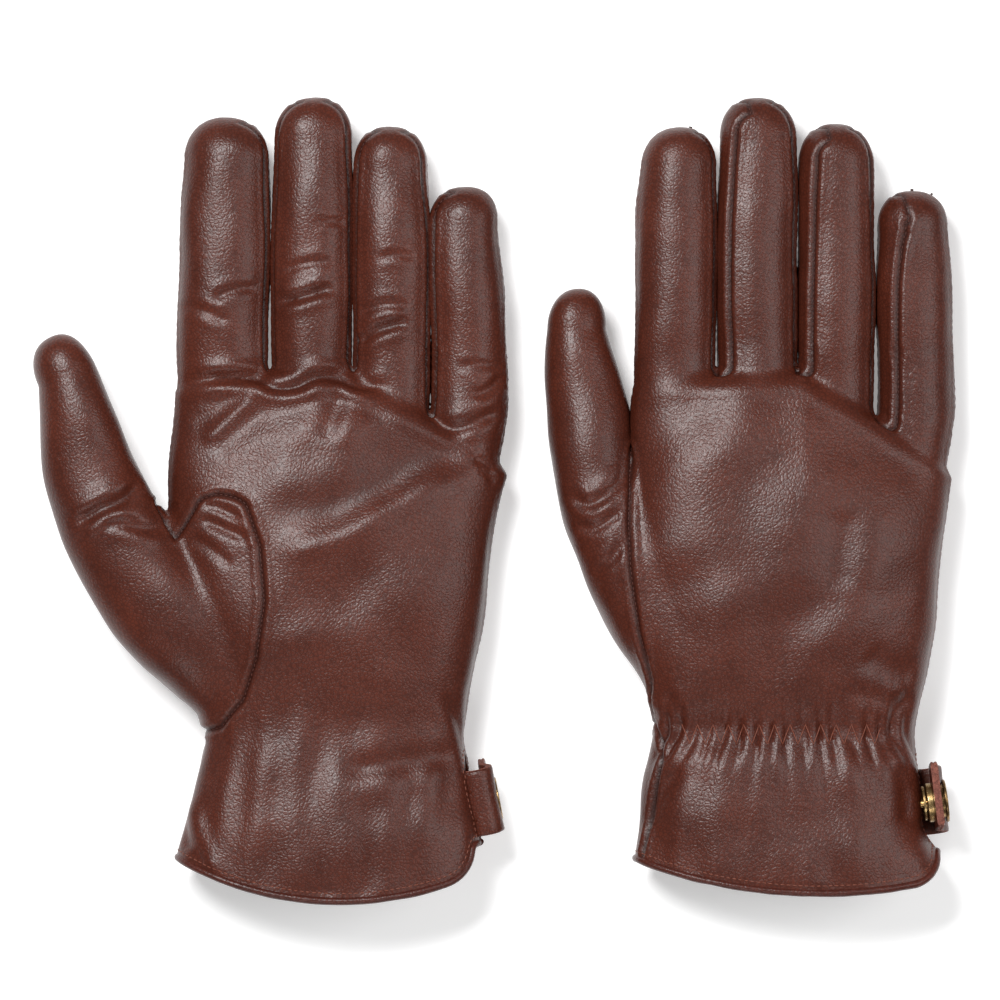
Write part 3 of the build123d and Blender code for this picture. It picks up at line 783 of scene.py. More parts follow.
RIGHT = GlovePlan(
    name="right",
    side=Side.BACK_UP,
    hand=[
        (-150.0, 38.5, 151.0, 0.9, 36.0),
        (-114.0, 44.3, 142.6, 0.9, 35.6),
        (-106.0, 45.5, 137.0, 0.9, 35.2),
        (-95.0, 47.3, 135.4, 0.9, 34.6),
        (-84.0, 49.2, 134.2, 1.0, 33.4),
        (-76.0, 50.4, 133.4, 1.3, 32.0),
        (-55.0, 48.2, 137.0, 0.4, 33.8),
        (-20.0, 44.2, 141.4, 0.0, 34.6),
        (9.0, 43.6, 143.6, 0.4, 32.0),
        (31.0, 44.2, 145.3, 2.0, 26.4),
    ],
    fingers=[
        [(22, 57.2, 15.0, 11.6, 10.2), (38, 57.2, 15.0, 12.8, 10.7), (60, 57.4, 15.2, 12.8, 10.8),
         (85, 58.0, 15.2, 12.6, 10.6), (106, 58.7, 15.0, 11.9, 9.9)],
        [(22, 83.4, 15.0, 11.4, 10.2), (40, 83.4, 15.0, 12.5, 10.7), (65, 83.4, 15.3, 12.7, 10.9),
         (90, 83.4, 15.3, 12.6, 10.6), (115, 83.4, 15.0, 12.1, 9.9)],
        [(14, 108.6, 15.0, 10.9, 10.0), (36, 108.6, 15.0, 12.0, 10.5), (60, 108.6, 15.2, 12.1, 10.6),
         (85, 108.6, 15.2, 12.0, 10.4), (107, 108.6, 15.0, 11.5, 9.7)],
        [(0, 131.6, 15.0, 10.4, 9.6), (13, 132.4, 14.8, 11.2, 9.8), (26, 133.6, 14.5, 11.8, 10.0),
         (50, 133.6, 14.6, 11.9, 10.0), (70, 133.2, 14.6, 11.7, 9.8), (87, 132.8, 14.5, 11.1, 9.2)],
    ],
    tips=[12.1, 12.7, 12.1, 11.1],
    crotches=[(70.4, 39.4), (97.0, 40.6), (121.2, 24.5)],
    distal_skew=(98.0, 0.62),
    thumb=[
        (-62.0, 61.0, 17.0, 11.5, 9.5),
        (-46.0, 54.0, 16.5, 14.5, 12.5),
        (-29.0, 46.0, 16.0, 16.0, 13.0),
        (-9.0, 38.0, 15.0, 15.6, 12.5),
        (12.0, 31.4, 14.0, 13.0, 11.6),
        (31.0, 29.3, 13.2, 13.0, 10.6),
        (46.0, 27.2, 12.6, 10.9, 9.6),
        (54.0, 26.2, 12.5, 8.9, 8.6),
    ],
    thumb_turn=0.0,
    thumb_tip=12.8,
    thumb_spread=-4.5,
    thumb_crotch_y=12.0,
    thumb_palm_line=[
        (43.2, 8.0), (44.2, -3.0), (50.0, 3.0), (53.0, 14.0), (57.0, 15.0), (62.0, 9.0),
        (66.0, 3.5), (71.5, -14.3), (73.0, -32.4), (70.5, -50.2), (66.0, -63.5), (57.0, -71.0),
        (49.0, -73.0),
    ],
    thumb_back_line=[
        (43.2, 12.0), (42.8, 4.0), (42.4, -8.0), (43.0, -22.0), (45.6, -42.0), (49.5, -58.0), (49.0, -73.0),
    ],
    hem=[(44.6, -115.0), (93.9, -125.1), (132.8, -122.6)],
    hem_corner=11.0,
    folds=[
        Fold(((22.0, 2.0), (30.0, -1.5), (38.5, 4.0), (43.0, 11.0)), 0.9, 1.6, 0.4),
        Fold(((24.0, -8.0), (32.0, -9.0), (40.5, -3.0)), 0.8, 1.5, 0.4),
        Fold(((30.0, -24.0), (37.0, -19.0), (42.0, -12.0)), 0.7, 1.6, 0.4),
        Fold(((109.0, -2.0), (109.6, -14.0), (108.0, -30.0)), 0.8, 5.5, 0.3),
        Fold(((116.0, -48.0), (124.0, -54.0), (134.0, -56.0)), 0.9, 4.6, 0.3),
        Fold(((108.0, -60.0), (120.0, -62.5), (133.0, -66.5)), 0.6, 3.2, 0.3),
        Fold(((132.5, -60.0), (127.0, -68.0), (124.0, -80.0)), 0.8, 2.0, 0.3),
        Fold(((54.0, -60.0), (57.0, -66.0), (58.5, -74.0)), 0.8, 2.0, 0.3),
        Fold(((60.0, -84.0), (52.0, -94.0), (47.0, -106.0)), 0.9, 2.6, 0.3),
        Fold(((127.0, -82.0), (130.0, -92.0), (130.5, -104.0)), 0.8, 2.6, 0.3),
    ],
    swells=[
        Swell(72.0, 10.0, 16.0, 13.0, 70.0, 0.9),
        Swell(78.0, 30.0, 8.0, 7.0, 0.0, 0.5),
        Swell(106.0, -44.0, 20.0, 8.0, 50.0, 0.9),
        Swell(121.0, -2.0, 26.0, 8.0, 90.0, 0.6),
        Swell(72.0, -30.0, 26.0, 12.0, 100.0, 0.6),
        Swell(66.0, -97.0, 12.0, 9.0, 40.0, 0.7),
        Swell(100.0, -104.0, 26.0, 9.0, 0.0, 0.5),
    ],
    seed=23,
)


@dataclass(frozen=True)
class SeamPlan:
    """Where the seams, the hem and the vent lie, in millimetres."""

    hand_z: float = 16.5
    finger_z: float = 15.0
    strip_half: float = 4.7
    strip_high: float = 8.4
    strip_end: float = 1.5
    hem_cut: float = 1.6
    vent_top_y: float = -80.0
    vent_slope: float = 7.0
    vent_low: float = -1.5
    vent_high: float = 6.0
    vent_reach: float = 16.0
    strap_y: float = -96.5
    far: float = 400.0


SEAMS = SeamPlan()
SPREAD = 3.5  # how far each finger is moved from its neighbour while the surface is made
SPREAD_RUN = 10.0  # the length over which the fingers move apart
FAR_AWAY = 20.0  # the distance beyond which a tube isn't worked out
PALM_BLEND = 3.0
THUMB_BLEND = 4.5
PUCKER_PITCH = 3.1
STRAP_REACH = 8.4  # half the length of wall that gives the strap its direction
LABELS = (
    "hem", "vent", "thumb", "fourchette_index_middle", "fourchette_middle_ring",
    "fourchette_ring_little", "palm_panel", "back_panel",
)
CUT = 2  # the labels before this one are cut off
GATHER_Y = -74.0
GATHER_PITCH = 4.86


@dataclass(frozen=True)
class ZigzagPlan:
    """The zigzag row's sizes in millimetres."""

    below: float = 3.4
    above: float = 2.8
    margin: float = 9.0
    lift: float = 0.06


@dataclass(frozen=True)
class ReliefPlan:
    """The leather's relief in millimetres: what it is made of, how high and how wide."""

    broad_height: float = 0.35
    broad_size: float = 42.0
    small_height: float = 0.16
    small_size: float = 17.0
    sleeve_height: float = 0.35
    sleeve_size: float = 13.0
    pinch_depth: float = 1.4
    pinch_width: float = 7.0
    pleat_height: float = 1.35
    pleat_middle: float = 0.62
    groove_depth: float = 0.95
    groove_width: float = 0.85
    shoulder_height: float = 0.42
    shoulder_gap: float = 1.9
    pucker_height: float = 0.14
    pucker_gap: float = 1.6
    tip_calm: float = 0.65


@dataclass(frozen=True)
class StitchSize:
    """A row's pitch and its stitches' half length and radius, in millimetres."""

    pitch: float
    length: float
    radius: float


ZIGZAG = ZigzagPlan()
RELIEF = ReliefPlan()
HEM_STITCH = StitchSize(1.9, 0.68, 0.22)
VENT_STITCH = StitchSize(1.9, 0.68, 0.2)
SEAM_STITCH = StitchSize(1.6, 0.5, 0.13)


class GloveForm:
    """A glove's surface as distances, in a space where its fingers stand apart, and its seams."""

    def __init__(self, plan: GlovePlan) -> None:
        """Make the tubes of one glove."""
        self.plan = plan
        self.palm = plan.side.value
        stations = [(y, (a + b) / 2, z + t / 2, (b - a) / 2, t / 2) for y, a, b, z, t in plan.hand]
        self.hand = Tube(stations, end_cap=9.5, power=2.8)
        self.fingers = [Tube(rows, end_cap=tip) for rows, tip in zip(plan.fingers, plan.tips)]
        self.thumb = Tube(plan.thumb, turn=plan.thumb_turn, end_cap=plan.thumb_tip)
        self.hem_outline = self._hem_outline()
        row = plan.hand_at(SEAMS.strap_y)[0]
        self.wall_x, self.wall_mid = row[1], row[2] + row[3] / 2

    def _hem_outline(self) -> np.ndarray:
        """The outline of everything on the finger side of the hem line."""
        a, b, c = (np.array(p) for p in self.plan.hem)
        d = 2 * (a[0] * (b[1] - c[1]) + b[0] * (c[1] - a[1]) + c[0] * (a[1] - b[1]))
        squares = [p @ p for p in (a, b, c)]
        centre = np.array([
            squares[0] * (b[1] - c[1]) + squares[1] * (c[1] - a[1]) + squares[2] * (a[1] - b[1]),
            squares[0] * (c[0] - b[0]) + squares[1] * (a[0] - c[0]) + squares[2] * (b[0] - a[0]),
        ]) / d
        radius = np.linalg.norm(a - centre)
        first, last = (math.atan2(p[1] - centre[1], p[0] - centre[0]) for p in (a, c))
        turns = np.linspace(first, last, 40)
        arc = centre + radius * np.stack([np.cos(turns), np.sin(turns)], axis=1)
        bend_centre = c + (centre - c) / radius * self.plan.hem_corner
        bends = np.linspace(last, 0.0, 12)[1:]
        bend = bend_centre + self.plan.hem_corner * np.stack([np.cos(bends), np.sin(bends)], axis=1)
        far = SEAMS.far
        frame_points = [(far, bend[-1, 1]), (far, far), (-far, far), (-far, arc[0, 1])]
        return np.vstack([arc, bend, frame_points])

    def shifts(self, y: np.ndarray) -> list:
        """How far the hand, each finger and the thumb are moved in X at y, to stand apart."""
        steps = [SPREAD * ramp(y, low + 1, low + 1 + SPREAD_RUN) for _, low in self.plan.crotches]
        fingers = [sum(steps[:n], np.zeros_like(y)) for n in range(4)]
        thumb = self.plan.thumb_spread * ramp(y, self.plan.thumb_crotch_y, self.plan.thumb_crotch_y + 14)
        return [np.zeros_like(y), *fingers, thumb]

    def parts(self, q: np.ndarray, limit: bool = False) -> np.ndarray:
        """The distance of points to the hand, each finger and the thumb, one row each."""
        rows = []
        for tube, shift in zip([self.hand, *self.fingers, self.thumb], self.shifts(q[:, 1])):
            moved = q.copy()
            moved[:, 0] -= shift
            if tube is self.hand:
                start, slope = self.plan.distal_skew
                past = np.clip(q[:, 0] - start, 0.0, 60.0)
                moved[:, 1] += slope * past * ramp(q[:, 1], -25.0, 15.0)
            if limit:
                samples = tube.along[:, None] * tube.axis + tube.rows[:, :1] * tube.across
                reach = tube.rows[:, 2].max() + FAR_AWAY
                low, high = samples.min(0) - reach, samples.max(0) + reach
                near = np.all((moved[:, :2] > low) & (moved[:, :2] < high), axis=1)
                row = np.full(len(q), FAR_AWAY)
                row[near] = tube.distance(moved[near])
            else:
                row = tube.distance(moved)
            rows.append(row)
        return np.stack(rows)

    def distance(self, q: np.ndarray, limit: bool = False) -> np.ndarray:
        """The distance of points from the whole glove's surface."""
        rows = self.parts(q, limit)
        body = soft_min(rows[0], rows[1:5].min(axis=0), PALM_BLEND)
        return soft_min(body, rows[5], THUMB_BLEND)

    def true_place(self, q: np.ndarray) -> np.ndarray:
        """Points moved back from the spread space to where they really are."""
        weights = np.exp(-np.clip(self.parts(q), 0.0, 12.0) / 0.7)
        moved = q.copy()
        moved[:, 0] -= (weights * np.stack(self.shifts(q[:, 1]))).sum(axis=0) / weights.sum(axis=0)
        return moved

    def net(self, step: float, inset: float) -> tuple[np.ndarray, np.ndarray]:
        """The glove's surface, or one inside it by inset, as a net of quads in the spread space."""
        hand_x = [row[1] for row in self.plan.hand] + [row[2] for row in self.plan.hand]
        thumb = self.thumb.along[:, None] * self.thumb.axis + self.thumb.rows[:, :1] * self.thumb.across
        low = np.array([min(hand_x[1], thumb[:, 0].min() - 20.0) - 6.0, -133.0, -3.0])
        high = np.array([max(hand_x[3:]) + 3 * SPREAD + 6.0, 132.0, 42.0])
        axes = [np.arange(a, b, step) for a, b in zip(low, high)]
        grid = np.stack(np.meshgrid(*axes, indexing="ij"), axis=-1).reshape(-1, 3)
        values = self.distance(grid, limit=True) + inset
        return surface_net(values.reshape([len(a) for a in axes]), low, step)

    def slope(self, q: np.ndarray, function: object, reach: float = 0.25) -> np.ndarray:
        """The gradient of a function of points, by differences."""
        columns = []
        for n in range(3):
            move = np.zeros(3)
            move[n] = reach
            columns.append((function(q + move) - function(q - move)) / (2 * reach))
        return np.stack(columns, axis=1)

    def settle(self, q: np.ndarray, inset: float, rounds: int = 2) -> np.ndarray:
        """Points moved onto the surface."""
        for _ in range(rounds):
            gradient = self.slope(q, self.distance)
            value = self.distance(q) + inset
            size = np.maximum((gradient**2).sum(1), 0.05)
            q = q - np.clip(value / size, -1.0, 1.0)[:, None] * gradient
        return q

    def seam_values(self, q: np.ndarray) -> np.ndarray:
        """One row a label, in the order of LABELS, above 0 inside that label's region."""
        p = self.true_place(q)
        rows = self.parts(q)
        others = rows[:5].min(axis=0)
        hem = SEAMS.hem_cut - self.hem_depth(p)
        vent = self.vent_depth(p)
        thumb = self._thumb_value(p, others - rows[5])
        strips = [self._strip_value(number, p, rows[number + 1], rows[number + 2]) for number in range(3)]
        palm = self.palm * (p[:, 2] - self.seam_height(p))
        return np.stack([hem, vent, thumb, *strips, palm, np.full(len(q), 0.5)])

    def hem_depth(self, p: np.ndarray) -> np.ndarray:
        """How far points lie on the finger side of the hem line."""
        depth = np.full(len(p), 30.0)
        low = p[:, 1] < -90.0
        depth[low] = outline_depth(p[low, :2], self.hem_outline)
        return depth

    def vent_depth(self, p: np.ndarray) -> np.ndarray:
        """How far points lie inside the vent's wedge."""
        high, low = (self.wall_mid + self.palm * v for v in (SEAMS.vent_high, SEAMS.vent_low))
        top, shoulder = SEAMS.vent_top_y, SEAMS.vent_top_y - SEAMS.vent_slope
        below = -160.0
        tip = (top, (high + low) / 2)
        wedge = np.array([tip, (shoulder, high), (below, high), (below, low), (shoulder, low)])
        depth = np.full(len(p), -30.0)
        near = (p[:, 1] < top + 15.0) & (p[:, 0] > self.wall_x - SEAMS.vent_reach - 2.0)
        depth[near] = np.minimum(
            outline_depth(p[near, 1:], wedge), p[near, 0] - (self.wall_x - SEAMS.vent_reach)
        )
        return depth

    def seam_height(self, p: np.ndarray) -> np.ndarray:
        """The height of the seam between palm and back."""
        x, y, _ = p.T
        height = SEAMS.hand_z + (SEAMS.finger_z - SEAMS.hand_z) * ramp(y, 14.0, 34.0)
        vent = self.wall_mid + self.palm * 0.5 * (SEAMS.vent_low + SEAMS.vent_high)
        top = SEAMS.vent_top_y
        beside = ramp(-y, -top, -top + SEAMS.vent_slope) * (x > self.wall_x - SEAMS.vent_reach)
        radial = ramp(-y, 62.0, 84.0) * (x < self.wall_x - 40.0)
        return height + (vent - height) * beside - self.palm * 10.5 * radial

    def _thumb_value(self, p: np.ndarray, apart: np.ndarray) -> np.ndarray:
        """Above 0 on the thumb: by its seam lines, and past its crotch by which tube is nearer."""
        far, end_y = SEAMS.far, self.plan.thumb_palm_line[-1][1]
        crotch = self.plan.thumb_crotch_y
        depths = []
        for line in (self.plan.thumb_back_line, self.plan.thumb_palm_line):
            top = (line[0][0], crotch + 60.0)
            outline = np.array([top, *line, (-far, end_y), (-far, crotch + 60.0)])
            depth = np.full(len(p), -30.0)
            near = (p[:, 1] > end_y - 12.0) & (p[:, 1] < crotch + 30.0)
            depth[near] = outline_depth(p[near, :2], outline)
            depths.append(depth)
        share = ramp(self.palm * (p[:, 2] - SEAMS.hand_z), -7.0, 7.0)
        line_value = depths[0] + (depths[1] - depths[0]) * share
        upper = ramp(p[:, 1], crotch - 1.0, crotch + 6.0)
        return line_value * (1 - upper) + np.clip(apart, -4.0, 4.0) * upper

    def _strip_value(self, number: int, p: np.ndarray, one: np.ndarray, two: np.ndarray) -> np.ndarray:
        """Above 0 on the fourchette between two neighbouring fingers."""
        x, y, z = p.T
        tubes = self.fingers[number : number + 2]
        axes = [np.interp(y, tube.along, tube.rows[:, 0]) for tube in tubes]
        height = np.interp(y, tubes[0].along, tubes[0].rows[:, 1])
        share = ramp(one - two, -0.8, 0.8)
        ends = [tube.along[-1] + tube.end_cap - SEAMS.strip_end for tube in tubes]
        end = ends[0] + (ends[1] - ends[0]) * share
        half = np.full(len(p), SEAMS.strip_half)
        if self.palm < 0:
            half += np.where(z > height, (SEAMS.strip_high - SEAMS.strip_half) * share, 0.0)
        value = np.minimum(half - np.abs(z - height), end - y)
        low_y = self.plan.crotches[number][1] - 9.0
        inner = 1.0 + 2.0 * ramp(y, end - 10.0, end)
        return np.minimum.reduce([value, x - axes[0] - inner, axes[1] - x - inner, y - low_y])


def face_labels(form: GloveForm, q: np.ndarray, quads: np.ndarray) -> np.ndarray:
    """The label of each face: the first in LABELS whose region holds its middle."""
    middles = q[quads].mean(axis=1)
    return (form.seam_values(middles) > 0).argmax(axis=0)


def label_range(count: int, quads: np.ndarray, labels: np.ndarray) -> tuple[np.ndarray, np.ndarray]:
    """The lowest and the highest label of the faces round each of count vertices."""
    first = np.full(count, len(LABELS))
    last = np.full(count, -1)
    for corner in range(4):
        np.minimum.at(first, quads[:, corner], labels)
        np.maximum.at(last, quads[:, corner], labels)
    return first, last


def slide_to_seams(form: GloveForm, q: np.ndarray, quads: np.ndarray, labels: np.ndarray) -> np.ndarray:
    """Move the vertices between two labels onto the exact line between them.

    Args:
        form: the glove's surface.
        q: its vertices in the spread space, which are changed.
        quads: its faces.
        labels: the label of each face.

    Returns:
        The vertices.
    """
    first, last = label_range(len(q), quads, labels)
    edge = np.flatnonzero(first < last)
    own = first[edge]
    rank = np.arange(len(edge))
    for _ in range(4):
        here = q[edge]
        value = form.seam_values(here)[own, rank]
        gradient = form.slope(here, lambda at: form.seam_values(at)[own, rank])
        normal = form.slope(here, form.distance)
        normal /= np.linalg.norm(normal, axis=1)[:, None] + 1e-9
        gradient -= (gradient * normal).sum(1)[:, None] * normal
        size = (gradient**2).sum(1)
        step = np.where(size > 0.04, value / np.maximum(size, 0.04), 0.0)
        move = -step[:, None] * gradient
        length = np.linalg.norm(move, axis=1)
        move *= (np.minimum(length, 0.45) / np.maximum(length, 1e-9))[:, None]
        q[edge] = form.settle(here + move, 0.0, 1)
    return q


def even_out(q: np.ndarray, quads: np.ndarray, fixed: np.ndarray, rounds: int) -> np.ndarray:
    """Spread the free vertices evenly between their neighbours."""
    pairs = np.concatenate([quads[:, [n, (n + 1) % 4]] for n in range(4)])
    for _ in range(rounds):
        total = np.zeros_like(q)
        count = np.zeros(len(q))
        for a, b in ((0, 1), (1, 0)):
            np.add.at(total, pairs[:, a], q[pairs[:, b]])
            np.add.at(count, pairs[:, a], 1)
        target = total / np.maximum(count, 1)[:, None]
        q = np.where(fixed[:, None], q, 0.5 * q + 0.5 * target)
    return q


def point_normals(p: np.ndarray, quads: np.ndarray) -> np.ndarray:
    """The average outward normal at each point."""
    cross = np.cross(p[quads[:, 2]] - p[quads[:, 0]], p[quads[:, 3]] - p[quads[:, 1]])
    total = np.zeros_like(p)
    for corner in range(4):
        np.add.at(total, quads[:, corner], cross)
    return total / np.maximum(np.linalg.norm(total, axis=1), 1e-9)[:, None]


def nearest_gap(points: np.ndarray, targets: np.ndarray) -> np.ndarray:
    """The distance from each point to the nearest of the targets."""
    tree = KDTree(len(targets))
    for number, target in enumerate(targets):
        tree.insert(target, number)
    tree.balance()
    return np.array([tree.find(point)[2] for point in points])


@dataclass
class Shell:
    """A glove's finished outer surface and what was marked on it."""

    points: np.ndarray
    normals: np.ndarray
    quads: np.ndarray
    labels: np.ndarray
    # seam: the mask by which the leather paints shade along seams and in fold and pleat valleys
    seam: np.ndarray

    def edges(self, one: int, two: int | None = None) -> np.ndarray:
        """The edges between faces of label one and faces of label two, or of any other kept label."""
        sides = np.concatenate([self.quads[:, [n, (n + 1) % 4]] for n in range(4)])
        owner = np.tile(self.labels, 4)
        key = np.sort(sides, axis=1)
        order = np.lexsort((key[:, 1], key[:, 0]))
        key, owner = key[order], owner[order]
        same = np.all(key[1:] == key[:-1], axis=1)
        a, b = owner[:-1][same], owner[1:][same]
        pairs = key[:-1][same]
        low, high = np.minimum(a, b), np.maximum(a, b)
        if two is None:
            pick = (low != high) & (low >= CUT) & ((low == one) | (high == one))
        else:
            pick = (low == min(one, two)) & (high == max(one, two))
        return pairs[pick]

    def cut_edges(self, cut: int) -> np.ndarray:
        """The edges between what is kept and what was cut off at the hem (0) or the vent (1)."""
        found = [self.edges(cut, label) for label in range(CUT, len(LABELS))]
        return np.concatenate(found)


def chain(pairs: np.ndarray) -> list:
    """Edges joined end to end into the longest run of vertices."""
    links: dict = {}
    for a, b in pairs.tolist():
        links.setdefault(a, []).append(b)
        links.setdefault(b, []).append(a)
    best: list = []
    seen: set = set()
    starts = [v for v, n in links.items() if len(n) == 1] + list(links)
    for start in starts:
        if start in seen:
            continue
        run = [start]
        seen.add(start)
        while True:
            ahead = [v for v in links[run[-1]] if v not in seen]
            if not ahead:
                break
            run.append(ahead[0])
            seen.add(ahead[0])
        if len(run) > len(best):
            best = run
    return best


def wrist_pinch(form: GloveForm, p: np.ndarray, normals: np.ndarray) -> np.ndarray:
    """How far the elastic draws the back of the wrist in."""
    back = ramp(-form.palm * normals[:, 2], -0.35, 0.45)
    return -RELIEF.pinch_depth * back * bell(p[:, 1] - GATHER_Y, RELIEF.pinch_width)


def gather_relief(form: GloveForm, p: np.ndarray, normals: np.ndarray) -> np.ndarray:
    """The pleats that the elastic pulls across the back of the wrist."""
    x, y, _ = p.T
    back = ramp(-form.palm * normals[:, 2], -0.35, 0.45)
    away = y - GATHER_Y
    window = np.exp(-((away / np.where(away > 0, 6.0, 9.0)) ** 2)) + 0.22 * np.exp(-((away / 17.0) ** 2))
    drift = ripple(p * np.array([1.0, 0.35, 0.0]), 17.0, form.plan.seed + 5)
    slant = 0.22 * (x - form.hand.rows[:, 0].mean()) * np.clip(-away, 0.0, 20.0) / 20.0
    wave = np.abs(np.sin(math.pi * (x - slant) / GATHER_PITCH + 0.55 * drift))
    uneven = 0.85 + 0.3 * ripple(p * np.array([1.0, 0.5, 0.0]), 12.0, form.plan.seed + 6)
    height = RELIEF.pleat_height * (wave - RELIEF.pleat_middle)
    return back * window * height * np.clip(uneven, 0.35, 1.4)


def seam_groove(form: GloveForm, q: np.ndarray, p: np.ndarray, gap: np.ndarray) -> np.ndarray:
    """The sunken line of the seams and the puckered leather beside it.

    Args:
        form: the glove's surface.
        q: its vertices in the spread space.
        p: the same vertices where they really are.
        gap: how far each is from a seam.

    Returns:
        The height that it adds to each vertex. It is slighter near the fingertips.
    """
    x, y, _ = p.T
    uneven = 1.5 * ripple(p, 9.0, form.plan.seed + 2)
    pucker = 0.5 + 0.5 * np.sin(2 * math.pi * (y + 0.7 * x) / PUCKER_PITCH + uneven)
    tips = np.array([tube.along[-1] + tube.end_cap for tube in form.fingers])
    finger = form.parts(q)[1:5].argmin(axis=0)
    near_tip = ramp(y, tips[finger] - 13.0, tips[finger] - 5.0) * (y > 60.0)
    groove = -RELIEF.groove_depth * bell(gap, RELIEF.groove_width)
    groove = groove + RELIEF.shoulder_height * bell(gap - RELIEF.shoulder_gap, 1.0)
    groove = groove + RELIEF.pucker_height * pucker * bell(gap - RELIEF.pucker_gap, 1.8)
    return groove * (1.0 - RELIEF.tip_calm * near_tip)


def above_table(z: np.ndarray) -> np.ndarray:
    """Heights pressed flat where they would come close to the table or go under it."""
    near, least = 0.6, 0.15
    return np.where(z < near, least + 0.45 * np.exp(np.minimum(z - near, 0.0) / near), z)


def build_shell(plan: GlovePlan) -> tuple[GloveForm, Shell]:
    """The outer surface of one glove, with its seams and folds.

    Args:
        plan: the glove's sizes.

    Returns:
        The smooth form, and the finished surface that lies on it.
    """
    form = GloveForm(plan)
    q, quads = form.net(GRID_STEP, 0.0)
    q = form.settle(q, 0.0)
    q = form.settle(even_out(q, quads, np.zeros(len(q), bool), 1), 0.0, 1)
    labels = face_labels(form, q, quads)
    q = slide_to_seams(form, q, quads, labels)
    first, last = label_range(len(q), quads, labels)
    fixed = first < last
    q = form.settle(even_out(q, quads, fixed, 3), 0.0, 1)
    gap = nearest_gap(q, q[fixed & (first >= CUT)])
    cut_gap = nearest_gap(q, q[fixed & (first < CUT) & (last >= CUT)])
    p = form.true_place(q)
    normals = point_normals(p, quads)
    up = ramp(normals[:, 2], 0.1, 0.6)
    xy = p[:, :2]
    folds = sum(fold.relief(xy) for fold in plan.folds) * up
    swells = sum(swell.relief(xy) for swell in plan.swells) * up
    wave = RELIEF.broad_height * ripple(p, RELIEF.broad_size, plan.seed)
    wave = wave + RELIEF.small_height * ripple(p, RELIEF.small_size, plan.seed + 1)
    wave *= ramp(p[:, 2], 1.0, 9.0) * 0.8 + 0.2
    groove = seam_groove(form, q, p, gap)
    stretched = p * np.array([1.0, 0.45, 1.0])
    sleeve = RELIEF.sleeve_height * ripple(stretched, RELIEF.sleeve_size, plan.seed + 3)
    sleeve *= ramp(-p[:, 1], 55.0, 75.0) * 0.8
    pleats = gather_relief(form, p, normals)
    pinch = wrist_pinch(form, p, normals)
    relief = folds + swells + wave + groove + sleeve + pleats + pinch
    relief *= ramp(cut_gap, -2.0, 3.0)
    p = p + normals * relief[:, None]
    p[:, 2] = above_table(p[:, 2])
    # The seam mask: high at the seams and in fold and pleat valleys; the leather paints shade where it is
    # high and is rougher there
    seam = bell(gap, 0.9)
    seam = seam + 0.45 * np.clip(-folds - 0.3, 0.0, 1.0) + 0.6 * np.clip(-pleats - 0.1, 0.0, 1.0)
    seam = np.clip(seam, 0.0, 1.0)
    return form, Shell(p, point_normals(p, quads), quads, labels, seam)


def piece_from_faces(
    name: str, points: np.ndarray, faces: np.ndarray, values: np.ndarray | None
) -> bpy.types.Object:
    """A mesh object from some of a net's faces, with the seam attribute of its points."""
    used, index = np.unique(faces, return_inverse=True)
    piece = make_mesh(name, points[used], index.reshape(faces.shape))
    if values is not None:
        attribute = piece.data.attributes.new("seam", "FLOAT", "POINT")
        attribute.data.foreach_set("value", values[used].astype(np.float32))
    return piece


# ---------------------------------------------------------------- rows of thread


class NodeTree:
    """A Geometry Nodes group that turns a line of edges into thread."""

    def __init__(self, name: str, inputs: dict) -> None:
        """Start a group with float inputs, given as name to default value."""
        self.group = bpy.data.node_groups.new(name, "GeometryNodeTree")
        face = self.group.interface
        face.new_socket("Geometry", in_out="INPUT", socket_type="NodeSocketGeometry")
        self.ids = {}
        for key, value in inputs.items():
            socket = face.new_socket(key, in_out="INPUT", socket_type="NodeSocketFloat")
            socket.default_value = value
            self.ids[key] = socket.identifier
        face.new_socket("Geometry", in_out="OUTPUT", socket_type="NodeSocketGeometry")
        self.start = self.group.nodes.new("NodeGroupInput")

    def add(self, kind: str, links: dict, settings: dict | None = None) -> bpy.types.Node:
        """Add one node. Links map an input's name or number to an output socket or a value."""
        node = self.group.nodes.new(kind)
        for key, value in (settings or {}).items():
            setattr(node, key, value)
        for key, value in links.items():
            if isinstance(value, bpy.types.NodeSocket):
                self.group.links.new(value, node.inputs[key])
            else:
                node.inputs[key].default_value = value
        return node

    def close(self, geometry: bpy.types.NodeSocket, material: bpy.types.Material) -> None:
        """End the group: realize, set the material and hand the result out."""
        real = self.add("GeometryNodeRealizeInstances", {0: geometry})
        painted = self.add("GeometryNodeSetMaterial", {"Geometry": real.outputs[0], "Material": material})
        end = self.group.nodes.new("NodeGroupOutput")
        self.group.links.new(painted.outputs[0], end.inputs[0])

    def apply(self, piece: bpy.types.Object, values: dict) -> bpy.types.Object:
        """Run the group on a piece with these input values, and leave a plain mesh."""
        modifier = piece.modifiers.new("thread", "NODES")
        modifier.node_group = self.group
        for key, value in values.items():
            modifier[self.ids[key]] = value
        return bake_modifiers(piece)


def stitch_tree(material: bpy.types.Material) -> NodeTree:
    """A row of separate stitches along each line."""
    tree = NodeTree("stitch_row", {"Pitch": 1.9 * MM, "Length": 1.3 * MM, "Radius": 0.22 * MM})
    curve = tree.add("GeometryNodeMeshToCurve", {0: tree.start.outputs["Geometry"]})
    points = tree.add(
        "GeometryNodeCurveToPoints", {"Curve": curve.outputs[0], "Length": tree.start.outputs["Pitch"]},
        {"mode": "LENGTH"},
    )
    ball = tree.add("GeometryNodeMeshUVSphere", {"Segments": 8, "Rings": 6, "Radius": 1.0})
    size = tree.add(
        "ShaderNodeCombineXYZ",
        {0: tree.start.outputs["Radius"], 1: tree.start.outputs["Radius"], 2: tree.start.outputs["Length"]},
    )
    placed = tree.add(
        "GeometryNodeInstanceOnPoints",
        {"Points": points.outputs["Points"], "Instance": ball.outputs[0],
         "Rotation": points.outputs["Rotation"], "Scale": size.outputs[0]},
    )
    tree.close(placed.outputs[0], material)
    return tree


